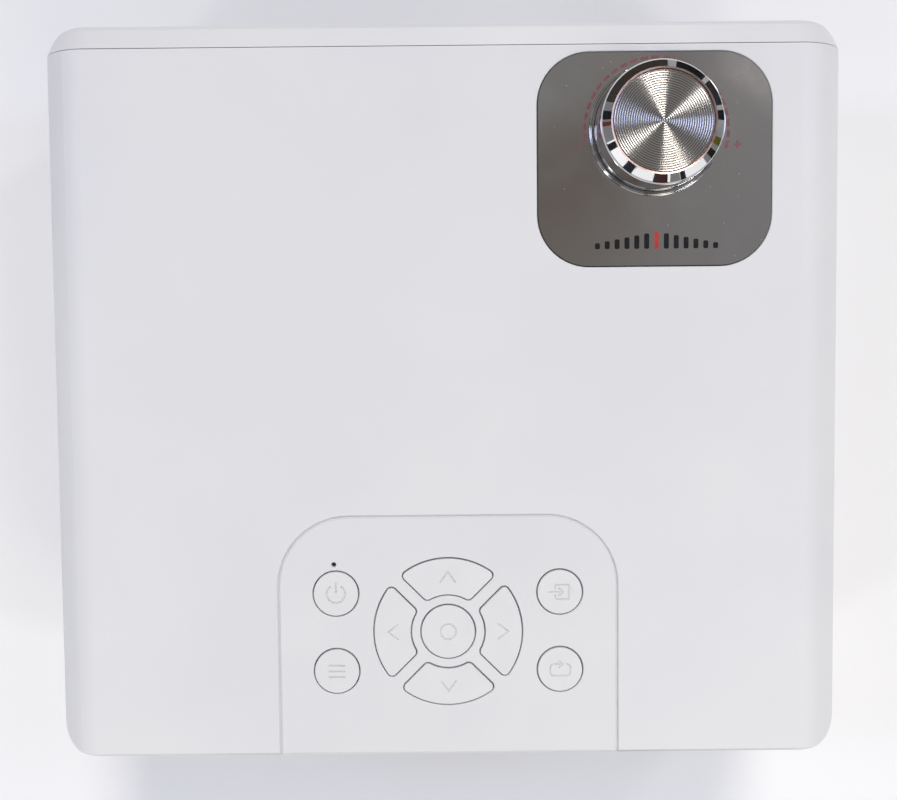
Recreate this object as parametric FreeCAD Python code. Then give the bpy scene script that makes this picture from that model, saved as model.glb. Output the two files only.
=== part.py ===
import FreeCAD, Part
import math
import os

Vector = FreeCAD.Vector

# A home projector, lens to the front. Millimetres, +Z up, origin on the table under the middle
# of the case. The front faces -Y; the keys and the ports are at the rear.

# ---------------------------------------------------------------- case
body_width = 220.0
body_depth = 200.0
case_height = 82.0
foot_height = 6.0
wall = 2.5
side_edge_radius = 14.0        # long upper edges at the left and right
low_edge_radius = 8.0          # long lower edges
plan_corner_radius = 12.0      # upright corners
tray_height = 14.0             # height of the bottom case
bezel_depth = 6.6
bezel_rim = 4.6                # thickness of the bezel's sides
bezel_taper = 1.9              # how far the bezel draws in from the seam to its front chamfer
front_chamfer = 1.2
rear_chamfer = 0.8
seam_gap = 0.2
shell_slip = 0.25              # between a tongue or lip and the wall it slides inside
tongue_thickness = 1.6
tongue_length = 4.0
lip_height = 4.0

# ---------------------------------------------------------------- focus knob and its plate
knob_from_side = 53.2          # from the left wall to the knob's axis
knob_from_front = 29.5
plate_width = 63.1
plate_depth = 57.2
plate_corner_radius = 14.0
plate_thickness = 1.2
plate_recess = 1.0
plate_behind_knob = 7.75       # from the knob's axis to the plate's middle
plate_gap = 0.1
knob_base_radius = 16.7
knob_rim_radius = 16.15
knob_crown_radius = 13.6
knob_height = 14.2             # above the plate
knob_bevel = 2.2
knob_wall = 2.0
disc_radius = 12.85
disc_thickness = 1.4
disc_below_crown = 0.2
disc_groove = 0.55
seat_ring_radius = 17.7
seat_ring_height = 0.9
running_gap = 0.3              # between a moving piece and a still one that it never touches
shaft_radius = 3.0
shaft_flat = 0.6
shaft_tail_radius = 2.5
hub_radius = 5.0
bush_radius = 5.0
bush_flange_radius = 6.5
bush_flange = 1.2
bush_boss_radius = 8.0
bearing_fit = 0.05             # radial, for shafts, pins and slides
screw_clearance = 0.15         # radial, where a screw passes through
weld = 0.5                     # how far a rib or boss reaches into what carries it
gear_module = 0.7
pinion_teeth = 12
pressure_angle = math.radians(20)
backlash = 0.06
pinion_width = 4.0
rack_height = 4.6
knob_turn = math.pi / 2        # each way from the middle

# ---------------------------------------------------------------- lens and optical engine
lens_height = 38.0             # of the lens axis above the underside of the case
barrel_radius = 28.0
barrel_wall = 3.0
barrel_from_front = 8.0
barrel_length = 52.0
barrel_tail_wall = 1.5         # behind the guide, where the barrel enters the optical engine
glass_fit = 0.03
shoulder_width = 2.5
shoulder_thickness = 1.5
lens_elements = {              # front face behind the barrel's front, rim thickness, front and rear bulge
    "front_lens": (7.0, 5.0, 4.0, 1.2),
    "middle_lens": (26.0, 4.0, 1.5, 1.5),
    "rear_lens": (41.0, 4.5, 1.2, 3.0),
}
guide_wall = 3.0
guide_from_front = 12.0
guide_flange_half = 35.0
guide_flange_rise = 33.0
guide_flange = 3.0
lens_hole_gap = 0.8
trim_width = 4.7
trim_depth = 1.5
engine_from_front = 50.0
engine_depth = 98.0
engine_from_left = 10.0
engine_from_floor = 5.5
engine_height = 58.0
engine_wall = 2.0
lid_thickness = 2.0
optic_gap = 0.1
mirror_length = 100.0
mirror_height = 55.0
mirror_thickness = 3.0
sheet_height_gap = 0.2
sheet_side_gap = 0.3
rib_depth = 3.0
rib_thickness = 1.5
condenser_radius = 24.0
light_hole_radius = 20.0
led_board_size = 50.0
led_board_thickness = 1.6
sink_depth = 28.4
sink_base = 5.0
sink_half_width = 31.0
sink_half_height = 30.0
fin_thickness = 1.0
fin_pitch = 4.0
fan_thickness = 10.0
exhaust_fan_size = 60.0
panel_fan_size = 50.0
fan_from_right = 8.0
fan_pin_radius = 1.5
fan_corner_radius = 3.0
fan_rim = 1.5
fan_tip_gap = 0.5
fan_plate = 1.5
fan_blades = 7

# ---------------------------------------------------------------- keypad
keypad_half_width = 46.7
keypad_depth = 66.6            # from its front edge to the rear of the case
keypad_corner_radius = 19.5
panel_thickness = 2.0
panel_gap = 0.3
edge_soften = 0.35
ledge_width = 3.0
ledge_thickness = 1.5
skirt_thickness = 1.2
skirt_drop = 7.8
pad_from_rear = 34.4           # from the rear of the case to the middle of the arrow ring
pad_outer_radius = 20.3
pad_inner_radius = 10.35
pad_bar_half = 1.95
pad_corner_radius = 1.3
ok_key_radius = 7.35
side_key_radius = 6.1
side_key_x = 30.8
side_key_y = 10.8
key_gap = 0.35
key_proud = 0.2
key_flange = 0.8
key_flange_lift = 0.05
key_stem_radius = 2.2
key_fillet = 0.3
stem_length = 3.6              # from the underside of the panel to the end of a stem
plunger_radius = 1.7
plunger_show = 1.3
plunger_depth = 0.8
plunger_fit = 0.15
switch_size = 6.0
switch_height = 3.5
board_thickness = 1.6
indicator_radius = 0.65
panel_boss_radius = 2.4
panel_boss_x = 17.5
panel_boss_y = 18.1

# ---------------------------------------------------------------- feet and fixings
foot_radius = 8.0
foot_recess = 0.8
foot_gap = 0.1
foot_from_side = 24.0
front_foot_from_front = 30.0
rear_foot_from_rear = 22.0
boss_radius = 4.0
boss_from_side = 13.0
front_boss_from_front = 17.5
rear_boss_from_rear = 7.0
case_screw_radius = 1.45
case_screw_head = 2.8
screw_recess_radius = 3.5
screw_recess_depth = 4.0
case_screw_bite = 12.0
screw_clearance = 0.25
pilot_gap = 0.05
small_screw_radius = 0.9
small_screw_head = 1.9
small_screw_head_height = 1.4
insert_radius = 2.8
insert_bore = 1.65             # tapped M4
insert_length = 6.5
insert_boss_radius = 5.0
insert_spacing_x = 120.0
insert_spacing_y = 100.0
insert_middle_y = 5.0
levelling_from_front = 28.0
wheel_radius = 12.5
wheel_height = 5.9
wheel_gap = 1.0
wheel_screw_radius = 4.0
nut_radius = 5.0
nut_length = 12.5
nut_boss_radius = 7.0
pad_foot_radius = 9.0
pad_foot_height = 2.5
pad_foot_clear = 0.5
pad_stud_radius = 2.0
pad_stud_length = 4.0
wheel_screw_rise = 8.0         # of the screw above its nut

# ---------------------------------------------------------------- electronics and openings
hdmi_tongue = 1.2
usb_tongue = 1.8
lead_beside_engine = 13.0      # the mains lead runs past the optical engine to the power supply
transformer_size = (28.0, 26.0, 22.0)
transformer_from_left = 24.0
main_capacitor_size = (8.5, 28.0)      # radius, height
low_capacitor_size = (4.0, 16.0)
supply_cooler_size = (2.5, 30.0, 24.0)
lead_block_size = (10.0, 6.0, 6.4)
board_cooler_size = (25.0, 16.0, 9.0)
board_cooler_left = -50.0
board_cooler_base = 3.0
memory_size = (9.0, 12.0, 1.2)
ribbon_left = 24.0             # flat cable from the main board up to the keypad board
ribbon_right = 30.0
port_window_from_side = 26.0
port_window_height = 26.0
port_panel_recess = 0.5
port_panel_flange = 3.0
main_board_left = -78.0
main_board_right = 54.0
main_board_depth = 31.5
main_board_lift = 1.0          # above the seam between the two case halves
standoff_radius = 3.0
hdmi_size = (15.0, 6.0, 12.0)
hdmi_places = (-20.0, 2.0)
usb_size = (14.5, 7.2, 14.0)
usb_places = (24.0, 44.0)
port_shell = 0.6
jack_places = (-66.0, -50.0)
jack_bore = 1.8
jack_barrel_radius = 3.8
jack_body = (8.0, 7.8, 12.0)
inlet_from_side = 42.0
inlet_rise = 14.0
inlet_size = (22.0, 13.0, 22.0)
inlet_cavity = (16.4, 8.6, 12.0)
inlet_pin_radius = 1.2
inlet_pin_spacing = 8.6
inlet_pin_length = 10.0
port_gap = 0.2
supply_from_side = 20.0
supply_length = 78.0
supply_from_front = 10.0
supply_depth = 36.0
supply_lift = 5.5
speaker_radius = 19.0
speaker_from_rear = 31.0
speaker_rise = 28.0
speaker_depth = 14.0
speaker_ring_wall = 1.35
slot_width = 2.2
slot_pitch = 5.0
side_slot_bottom = 24.0        # above the underside of the case
side_slot_height = 36.0
side_slot_front = 62.0         # from the front of the case
side_slot_rear = 18.0          # from its rear
intake_half_width = 45.0
intake_length = 14.0
intake_from_rear = 48.0
grille_left = -12.0
grille_right = 96.0
grille_bottom = 18.0           # above the underside of the case
grille_height = 46.0
grille_slot = 2.2
grille_pitch = 4.4
grille_web_spacing = 36.0
grille_flange = 2.0
ir_window_x = -18.0
ir_window_radius = 3.0
ir_window_rise = 57.0
lead_radius = 2.2

# ---------------------------------------------------------------- worked out from the above
half_width = body_width / 2
front_y = -body_depth / 2
rear_y = body_depth / 2
case_bottom = foot_height
case_top = foot_height + case_height
floor_z = case_bottom + wall
ceiling_z = case_top - wall
split_z = case_bottom + tray_height
seam_y = front_y + bezel_depth
inner_side = half_width - wall
inner_rear = rear_y - wall
lip_inset = wall + shell_slip

knob_x = -(half_width - knob_from_side)
knob_y = front_y + knob_from_front
knob = (knob_x, knob_y)
plate_top = case_top - plate_recess + plate_thickness
knob_bottom = plate_top + running_gap
knob_top = plate_top + knob_height

lens_x = knob_x
lens_z = case_bottom + lens_height
lens_axis = (lens_x, lens_z)
barrel_bore = barrel_radius - barrel_wall
barrel_tail_radius = barrel_bore + barrel_tail_wall
barrel_front = front_y + barrel_from_front
barrel_rear = barrel_front + barrel_length
guide_radius = barrel_radius + bearing_fit
guide_outer = guide_radius + guide_wall
bezel_lens_hole = barrel_radius + lens_hole_gap

pitch_radius = gear_module * pinion_teeth / 2
gear_pitch = math.pi * gear_module
focus_travel = pitch_radius * knob_turn
rack_half_length = focus_travel + 2 * gear_pitch
rack_bottom = lens_z + barrel_radius + 1.2
rack_top = rack_bottom + rack_height
bush_bottom = rack_top + 0.4
boss_bottom = bush_bottom + bush_flange
pinion_top = bush_bottom - running_gap
pinion_bottom = pinion_top - pinion_width
clip_thickness = 0.6
shaft_bottom = pinion_bottom - clip_thickness - 0.4

engine_front = front_y + engine_from_front
engine_rear = engine_front + engine_depth
engine_middle = (engine_front + engine_rear) / 2
engine_bottom = floor_z + engine_from_floor
engine_top = engine_bottom + engine_height
engine_left = -half_width + engine_from_left
fan_right = half_width - fan_from_right
fan_left = fan_right - fan_thickness
led_board_right = fan_left - sink_depth
engine_right = led_board_right - led_board_thickness
engine_floor = engine_bottom + engine_wall
lead_x = engine_right + lead_beside_engine
port_window_half = half_width - port_window_from_side
inlet_x = half_width - inlet_from_side
light_axis = (engine_middle, lens_z)
optics = {                     # each sheet's place left of the engine's right end, and its thickness
    "field_fresnel": (76.0, 2.0),
    "lcd_panel": (67.0, 3.2),
    "collimating_fresnel": (54.0, 2.0),
    "heat_glass": (46.0, 1.6),
}
bulkhead_left = engine_right - 20.0
bulkhead_right = bulkhead_left + 3.0

pad_y = rear_y - pad_from_rear
panel_under = case_top - panel_thickness
key_top = case_top + key_proud
key_flange_top = panel_under - key_flange_lift
key_flange_bottom = key_flange_top - key_flange
stem_bottom = panel_under - stem_length
switch_top = stem_bottom - plunger_show
key_board_top = switch_top - switch_height
key_board_bottom = key_board_top - board_thickness
side_keys = {"power": (1, -1), "menu": (1, 1), "source": (-1, -1), "return": (-1, 1)}
arrow_keys = {"up": -90, "down": 90, "left": 0, "right": 180}
key_names = list(side_keys) + ["ok"] + list(arrow_keys)
panel_bosses = [(x, pad_y + y) for x in (-panel_boss_x, panel_boss_x) for y in (-panel_boss_y, panel_boss_y)]

boss_places = [(x * (half_width - boss_from_side), y) for x in (-1, 1)
               for y in (front_y + front_boss_from_front, rear_y - rear_boss_from_rear)]
foot_places = [(x * (half_width - foot_from_side), y) for x in (-1, 1)
               for y in (front_y + front_foot_from_front, rear_y - rear_foot_from_rear)]
insert_places = [(x * insert_spacing_x / 2, insert_middle_y + y * insert_spacing_y / 2)
                 for x in (-1, 1) for y in (-1, 1)]
ear_radius = 4.0
ear_height = 3.0
ear_places = [(engine_left + 3, engine_front - ear_radius), (engine_right - 62, engine_front - ear_radius),
              (engine_left + 12, engine_rear + ear_radius), (engine_right - 6, engine_rear + ear_radius)]
wheel_place = (0.0, front_y + levelling_from_front)
pad_foot_top = pad_foot_clear + pad_foot_height
wheel_bottom = pad_foot_top + running_gap
wheel_top = wheel_bottom + wheel_height
nut_bottom = wheel_top + running_gap
nut_top = nut_bottom + nut_length

port_panel_inner = inner_rear - 1.6
main_board_rear = port_panel_inner - 0.4
main_board_front = main_board_rear - main_board_depth
main_board_bottom = split_z + main_board_lift
main_board_top = main_board_bottom + board_thickness
main_standoffs = [(main_board_left + 4.5, main_board_front + 4),
                  (main_board_left + 4.5, main_board_rear - 6),
                  (13.0, main_board_rear - 6), (main_board_right - 4, main_board_front + 4)]
port_face = rear_y - 0.2
inlet_z = split_z + inlet_rise
supply_right = half_width - supply_from_side
supply_left = supply_right - supply_length
supply_front = front_y + supply_from_front
supply_rear = supply_front + supply_depth
supply_bottom = floor_z + supply_lift
supply_top = supply_bottom + board_thickness
supply_standoffs = [(x, y) for x in (supply_left + 4, supply_right - 4)
                    for y in (supply_front + 4, supply_rear - 4)]
speaker_place = (rear_y - speaker_from_rear, case_bottom + 14 + speaker_rise)
grille_z = case_bottom + grille_bottom
fan_screw_inset = 3.5

# ---------------------------------------------------------------- helpers
AXES = {"X": Vector(1, 0, 0), "Y": Vector(0, 1, 0), "Z": Vector(0, 0, 1)}
PAST = 1.0                     # how far a cutting tool runs past the face it opens


def at(axis, across, along):
    """Point at a place along an axis; across holds its other two coordinates in XYZ order."""
    values = list(across)
    values.insert("XYZ".index(axis), along)
    return Vector(*values)


def box(x0, x1, y0, y1, z0, z1):
    return Part.makeBox(x1 - x0, y1 - y0, z1 - z0, Vector(x0, y0, z0))


def rod(axis, radius, across, start, end):
    return Part.makeCylinder(radius, end - start, at(axis, across, start), AXES[axis])


def cone(axis, radius, end_radius, across, start, end):
    return Part.makeCone(radius, end_radius, end - start, at(axis, across, start), AXES[axis])


def tube(axis, outer, inner, across, start, end):
    return rod(axis, outer, across, start, end).cut(rod(axis, inner, across, start - PAST, end + PAST))


def join(*shapes):
    """Union that keeps the seams between faces, for the case shells with their curved corners."""
    return shapes[0].multiFuse(list(shapes[1:]))


def fuse(*shapes):
    """Union whose flush faces are merged."""
    return join(*shapes).removeSplitter()


def cut(shape, *tools):
    return shape.cut(Part.makeCompound(list(tools)))


def line(start, end):
    return Part.LineSegment(start, end).toShape()


def arc(start, middle, end):
    return Part.Arc(start, middle, end).toShape()


def rounded_outline(corners):
    """Closed wire in the XY plane through (x, y, radius) corners."""
    rounds = []
    for index, (x, y, radius) in enumerate(corners):
        here = Vector(x, y, 0)
        back = Vector(*corners[index - 1][:2], 0) - here
        ahead = Vector(*corners[(index + 1) % len(corners)][:2], 0) - here
        back.normalize()
        ahead.normalize()
        half = back.getAngle(ahead) / 2
        inward = (back + ahead).normalize()
        reach = radius / math.tan(half)
        middle = here + inward * (radius / math.sin(half) - radius)
        rounds.append((here + back * reach, middle, here + ahead * reach))
    edges = []
    for index, (start, middle, end) in enumerate(rounds):
        if corners[index][2] > 0:
            edges.append(arc(start, middle, end))
        edges.append(line(end, rounds[(index + 1) % len(rounds)][0]))
    return Part.Wire(edges)


def rounded_rect(x0, x1, y0, y1, low, high=None):
    """Closed wire; low is the radius of the corners at y0 and high of those at y1."""
    high = low if high is None else high
    return rounded_outline([(x0, y0, low), (x1, y0, low), (x1, y1, high), (x0, y1, high)])


def prism(wire, z0, z1):
    face = Part.Face(wire)
    face.translate(Vector(0, 0, z0))
    return face.extrude(Vector(0, 0, z1 - z0))


def upright_prism(wire, y0, y1):
    """Extrude a wire drawn as (x, z) from y0 to y1."""
    face = Part.Face(wire)
    face.rotate(Vector(), AXES["X"], 90)
    face.translate(Vector(0, y0, 0))
    return face.extrude(Vector(0, y1 - y0, 0))


def soft_prism(outline, grow, z0, z1, change):
    """Prism of outline(grow) whose upper edge is chamfered in, or flared out where change > 0."""
    size = abs(change)
    below = outline(grow)
    below.translate(Vector(0, 0, z1 - size))
    above = outline(grow + change)
    above.translate(Vector(0, 0, z1))
    return fuse(prism(outline(grow), z0, z1 - size), Part.makeLoft([below, above], True, True))


def revolved(points, across=(0, 0), axis="Z"):
    """Turn a closed (radius, height) outline about an axis parallel to Z or Y."""
    flat = [Vector(radius, 0, height) for radius, height in points]
    face = Part.Face(Part.makePolygon(flat + flat[:1]))
    solid = face.revolve(Vector(), AXES["Z"], 360)
    if axis == "Y":
        solid.rotate(Vector(), AXES["X"], -90)
    solid.translate(at(axis, across, 0))
    return solid


def stadium_y(width, x, y0, y1, z0, z1):
    """Upright slot cutter, long in Y, with round ends."""
    return prism(rounded_rect(x - width / 2, x + width / 2, y0, y1, width / 2 - 0.001), z0, z1)


def flat_edges(shape, z):
    """Edges that lie in the plane at height z."""
    tolerance = 1e-4
    return [edge for edge in shape.Edges
            if abs(edge.BoundBox.ZMin - z) < tolerance and abs(edge.BoundBox.ZMax - z) < tolerance]


def turned(shape, axis, angle, place):
    """Copy of a shape turned about an axis through the origin, then moved to a place."""
    copy = shape.copy()
    copy.rotate(Vector(), AXES[axis], angle)
    copy.translate(Vector(*place))
    return copy


def save(name, *shapes):
    solids = [solid for shape in shapes for solid in shape.Solids]
    for solid in solids:
        if not solid.isValid() or solid.Volume <= 0:
            raise ValueError(name + " holds a solid that is not valid")
    body = solids[0] if len(solids) == 1 else Part.makeCompound(solids)
    body.exportStep("parts/" + name + ".step")
    print(name, len(solids), "solid(s)", round(sum(solid.Volume for solid in solids)), "mm3")


# ---------------------------------------------------------------- case shells
def cross_section(y, inset):
    """Outline of the case across its depth at y, drawn in by inset."""
    wire = rounded_rect(-half_width + inset, half_width - inset, case_bottom + inset, case_top - inset,
                        low_edge_radius - inset, side_edge_radius - inset)
    wire.rotate(Vector(), AXES["X"], 90)
    wire.translate(Vector(0, y, 0))
    return wire


def case_form(stations, inset, front_inset=None):
    """Solid through cross sections (y, inset), with the upright corners rounded."""
    front_inset = inset if front_inset is None else front_inset
    lofted = Part.makeLoft([cross_section(y, drawn) for y, drawn in stations], True, True)
    plan = rounded_rect(-half_width + inset, half_width - inset, front_y + front_inset, rear_y - inset,
                        plan_corner_radius - inset)
    return lofted.common(prism(plan, case_bottom, case_top))


def shell_form():
    return case_form([(seam_y, 0), (rear_y - rear_chamfer, 0), (rear_y, rear_chamfer)], 0)


def shell_cavity(inset):
    return case_form([(seam_y - PAST, inset), (rear_y - inset, inset)], inset)


def layer(z0, z1):
    """Slab wider than the case between two heights."""
    return box(-half_width - PAST, half_width + PAST, front_y - PAST, rear_y + PAST, z0, z1)


def keypad_outline(grow):
    return rounded_rect(-keypad_half_width - grow, keypad_half_width + grow,
                        rear_y - keypad_depth - grow, rear_y + 5 * PAST, keypad_corner_radius + grow, 0)


def plate_outline(grow):
    middle = knob_y + plate_behind_knob
    return rounded_rect(knob_x - plate_width / 2 - grow, knob_x + plate_width / 2 + grow,
                        middle - plate_depth / 2 - grow, middle + plate_depth / 2 + grow,
                        plate_corner_radius + grow)


def side_slots():
    """Upright slots through both side walls, in one row along each."""
    low = case_bottom + side_slot_bottom
    first = front_y + side_slot_front
    count = int((rear_y - side_slot_rear - first) / slot_pitch) + 1
    outline = rounded_rect(-slot_width / 2, slot_width / 2, low, low + side_slot_height,
                           slot_width / 2 - 0.001)
    slot = Part.Face(outline)
    slot.rotate(Vector(), AXES["X"], 90)
    slot.rotate(Vector(), AXES["Z"], 90)
    slots = []
    for index in range(count):
        for start, reach in ((inner_side - 0.05, wall + PAST), (-inner_side + 0.05, -wall - PAST)):
            face = slot.copy()
            face.translate(Vector(start, first + index * slot_pitch, 0))
            slots.append(face.extrude(Vector(reach, 0, 0)))
    return slots


def make_top_cover():
    form = shell_form()
    cover = form.common(layer(split_z, case_top + PAST)).cut(shell_cavity(wall))
    ledge = prism(keypad_outline(ledge_width), panel_under - ledge_thickness, panel_under)
    ledge = ledge.common(box(-half_width, half_width, front_y, inner_rear + PAST / 2, 0, case_top))
    opening = prism(keypad_outline(-ledge_width), panel_under - ledge_thickness - PAST, panel_under + PAST)
    opening = opening.common(box(-half_width, half_width, front_y, inner_rear - ledge_width, 0, case_top))
    bosses = [rod("Z", boss_radius, place, split_z, ceiling_z + wall / 2).common(form)
              for place in boss_places]
    bush_boss = rod("Z", bush_boss_radius, knob, boss_bottom, ceiling_z + wall / 4)
    speaker_rings = []
    for side in (-1, 1):
        start, end = sorted((side * (inner_side + wall / 4), side * (inner_side - 4)))
        speaker_rings.append(tube("X", speaker_radius + 0.15 + speaker_ring_wall, speaker_radius + 0.15,
                                  speaker_place, start, end))
    cover = join(cover, ledge, bush_boss, *bosses, *speaker_rings)
    window = box(-port_window_half, port_window_half, inner_rear - PAST, rear_y + PAST,
                 split_z - PAST, split_z + port_window_height)
    skirt_seat = box(-keypad_half_width, keypad_half_width, rear_y - skirt_thickness - panel_gap / 3,
                     rear_y + PAST, case_top - skirt_drop - panel_gap, case_top + PAST)
    return cut(cover,
               opening, window, skirt_seat,
               soft_prism(keypad_outline, 0, panel_under, case_top, edge_soften),
               prism(plate_outline(plate_gap), case_top - plate_recess, case_top + PAST),
               rod("Z", bush_radius, knob, boss_bottom - PAST, case_top),
               *[rod("Z", case_screw_radius + pilot_gap, place, split_z - PAST,
                     split_z + case_screw_bite + 2)
                 for place in boss_places],
               *side_slots())


def make_bottom_case():
    form = shell_form()
    tray = form.common(layer(case_bottom - PAST, split_z)).cut(shell_cavity(wall))
    lip_front = seam_y + tongue_length + 1
    inner = shell_cavity(lip_inset + tongue_thickness)
    seat = shell_cavity(wall - 0.1).common(layer(split_z - 4, split_z)).cut(inner)
    lip = shell_cavity(lip_inset).common(layer(split_z - PAST, split_z + lip_height)).cut(inner)
    lip = join(seat, lip).common(box(-half_width, half_width, lip_front, rear_y, 0, case_top))
    lip = cut(lip,
              box(-port_window_half - 4, port_window_half + 4, inner_rear - 10, rear_y, split_z, case_top),
              *[rod("Z", boss_radius + 0.3, place, split_z, case_top) for place in boss_places])
    inside = shell_cavity(wall - 0.1)
    solids = [rod("Z", boss_radius + 1.5, place, floor_z - weld, split_z).common(inside)
              for place in boss_places]
    solids += [rod("Z", standoff_radius, place, floor_z - 0.5, supply_bottom) for place in supply_standoffs]
    solids += [rod("Z", standoff_radius, place, floor_z - weld,
                   main_board_bottom) for place in main_standoffs]
    solids += [rod("Z", standoff_radius + 0.5, place, floor_z - 0.5, engine_bottom) for place in ear_places]
    solids += [rod("Z", insert_boss_radius, place, floor_z - 0.5, case_bottom + insert_length + 1)
               for place in insert_places]
    cup_radius = wheel_radius + wheel_gap + 2
    solids.append(rod("Z", cup_radius, wheel_place, floor_z - 0.5, nut_bottom + 2))
    solids.append(rod("Z", nut_boss_radius, wheel_place, floor_z - 0.5, nut_top))
    for y in (-1, 1):
        middle = engine_middle + y * (exhaust_fan_size / 2 - 6)
        solids.append(box(fan_left + 1, fan_right - 1, middle - 2, middle + 2, floor_z - 0.5,
                          lens_z - exhaust_fan_size / 2))
    tray = join(tray, lip, *solids)
    slots = []
    count = int(2 * intake_half_width / slot_pitch) + 1
    for index in range(count):
        x = (index - (count - 1) / 2) * slot_pitch
        slots.append(stadium_y(slot_width, x, rear_y - intake_from_rear,
                               rear_y - intake_from_rear + intake_length,
                               case_bottom - PAST, floor_z + 0.01))
    holes = [rod("Z", foot_radius + foot_gap, place, case_bottom - PAST, case_bottom + foot_recess)
             for place in foot_places]
    holes += [rod("Z", screw_recess_radius, place, case_bottom - PAST, case_bottom + screw_recess_depth)
              for place in boss_places]
    holes += [rod("Z", case_screw_radius + screw_clearance, place, case_bottom, split_z + PAST)
              for place in boss_places]
    holes += [rod("Z", insert_radius, place, case_bottom - PAST, case_bottom + insert_length)
              for place in insert_places]
    pilot = small_screw_radius + pilot_gap
    holes += [rod("Z", pilot, place, supply_bottom - 4, supply_bottom + PAST) for place in supply_standoffs]
    holes += [rod("Z", pilot, place, main_board_bottom - 6, main_board_bottom + PAST)
              for place in main_standoffs]
    holes += [rod("Z", pilot, place, engine_bottom - 5, engine_bottom + PAST) for place in ear_places]
    holes.append(rod("Z", wheel_radius + wheel_gap, wheel_place, case_bottom - PAST, nut_bottom))
    holes.append(rod("Z", nut_radius, wheel_place, case_bottom, nut_top + PAST))
    return cut(tray, *slots, *holes)


def make_front_bezel():
    chamfer_y = front_y + front_chamfer
    seam_edge = seam_y - seam_gap
    form = case_form([(front_y, bezel_taper + front_chamfer), (chamfer_y, bezel_taper),
                      (seam_edge, seam_gap / 2)], 0)
    cavity = case_form([(front_y, bezel_rim), (seam_edge + PAST, bezel_rim)], bezel_rim, wall)
    tongue = case_form([(seam_edge - 2, lip_inset), (seam_y + tongue_length, lip_inset)], lip_inset)
    inner = lip_inset + tongue_thickness
    tongue = tongue.cut(case_form([(front_y, inner), (seam_y + tongue_length + PAST, inner)], inner, wall))
    bezel = join(form.cut(cavity), tongue)
    ir_place = (ir_window_x, case_bottom + ir_window_rise)
    return cut(bezel,
               rod("Y", bezel_lens_hole, lens_axis, front_y - PAST, seam_y),
               rod("Y", bezel_lens_hole + trim_width, lens_axis, front_y - PAST, front_y + trim_depth),
               rod("Y", ir_window_radius, ir_place, front_y - PAST, seam_y),
               box(grille_left, grille_right, front_y - PAST, seam_y, grille_z, grille_z + grille_height))


def make_front_grille():
    plate_front = front_y + 0.4
    plate_rear = front_y + wall + 0.1
    gap = 0.15
    grille = fuse(box(grille_left + gap, grille_right - gap, plate_front, plate_rear,
                      grille_z + gap, grille_z + grille_height - gap),
                  box(grille_left - grille_flange, grille_right + grille_flange, plate_rear,
                      plate_rear + 1.2,
                      grille_z - grille_flange, grille_z + grille_height + grille_flange))
    rows = int((grille_height - grille_slot) / grille_pitch)
    columns = int((grille_right - grille_left) / grille_web_spacing)
    slots = []
    for row in range(rows):
        low = grille_z + (grille_height - (rows - 1) * grille_pitch - grille_slot) / 2 + row * grille_pitch
        for column in range(columns):
            left = grille_left + (column + 0.5) * (grille_right - grille_left) / columns
            half = grille_web_spacing / 2 - 1.5
            outline = rounded_rect(left - half, left + half, low, low + grille_slot, grille_slot / 2 - 0.001)
            slots.append(upright_prism(outline, front_y, plate_rear + 2 * PAST))
    return cut(grille, *slots)


def make_ir_window():
    place = (ir_window_x, case_bottom + ir_window_rise)
    return fuse(rod("Y", ir_window_radius - 0.05, place, front_y + 0.1, front_y + wall + 0.1),
                rod("Y", ir_window_radius + 0.8, place, front_y + wall + 0.1, front_y + wall + 0.9))


def make_trim_ring():
    """Ring let into the bezel, its face sloping in towards the lens."""
    outer = bezel_lens_hole + trim_width - 0.05
    ring = revolved([(bezel_lens_hole, front_y + trim_depth), (outer, front_y + trim_depth),
                     (outer, front_y + 0.3),
                     (outer - 0.3, front_y), (outer - 1.2, front_y), (bezel_lens_hole, front_y + 0.9)])
    ring.rotate(Vector(), AXES["X"], -90)
    ring.translate(Vector(lens_x, 0, lens_z))
    return ring


def port_holes():
    """Cutters through the port panel for every socket on it."""
    cutters = []
    for (width, height, depth), places in ((hdmi_size, hdmi_places), (usb_size, usb_places)):
        for x in places:
            cutters.append(box(x - width / 2 - port_gap, x + width / 2 + port_gap, port_panel_inner - PAST,
                               rear_y + PAST, main_board_top - port_gap, main_board_top + height + port_gap))
    for x in jack_places:
        cutters.append(rod("Y", jack_barrel_radius + port_gap, (x, main_board_top + jack_body[1] / 2),
                           port_panel_inner - PAST, rear_y + PAST))
    width, height = inlet_size[:2]
    cutters.append(box(inlet_x - width / 2 - port_gap, inlet_x + width / 2 + port_gap,
                       port_panel_inner - PAST,
                       rear_y + PAST, inlet_z - height / 2 - port_gap, inlet_z + height / 2 + port_gap))
    return cutters


def make_rear_panel():
    face = rear_y - port_panel_recess
    top = split_z + port_window_height - shell_slip
    panel = box(-port_window_half + shell_slip, port_window_half - shell_slip, port_panel_inner, face,
                split_z + shell_slip, top)
    flange = box(-port_window_half - port_panel_flange, port_window_half + port_panel_flange,
                 port_panel_inner,
                 inner_rear - 0.1, split_z + shell_slip, top + port_panel_flange)
    return cut(fuse(panel, flange), *port_holes())


# ---------------------------------------------------------------- keypad
def arrow_block(direction, grow, z0, z1):
    """Quarter of the arrow ring with straight sides beside the diagonals and rounded corners."""
    reach = 2 * pad_outer_radius
    apex = (pad_bar_half - grow) * math.sqrt(2)
    wedge = prism(rounded_outline([(apex, 0, 0), (apex + reach, -reach, 0), (apex + reach, reach, 0)]),
                  z0, z1)
    block = tube("Z", pad_outer_radius + grow, pad_inner_radius - grow, (0, 0), z0, z1).common(wedge)
    corners = [edge for edge in block.Edges if edge.BoundBox.ZLength > (z1 - z0) * 0.9]
    block = block.makeFillet(pad_corner_radius + grow, corners)
    return turned(block, "Z", direction, (0, pad_y, 0))


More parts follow.
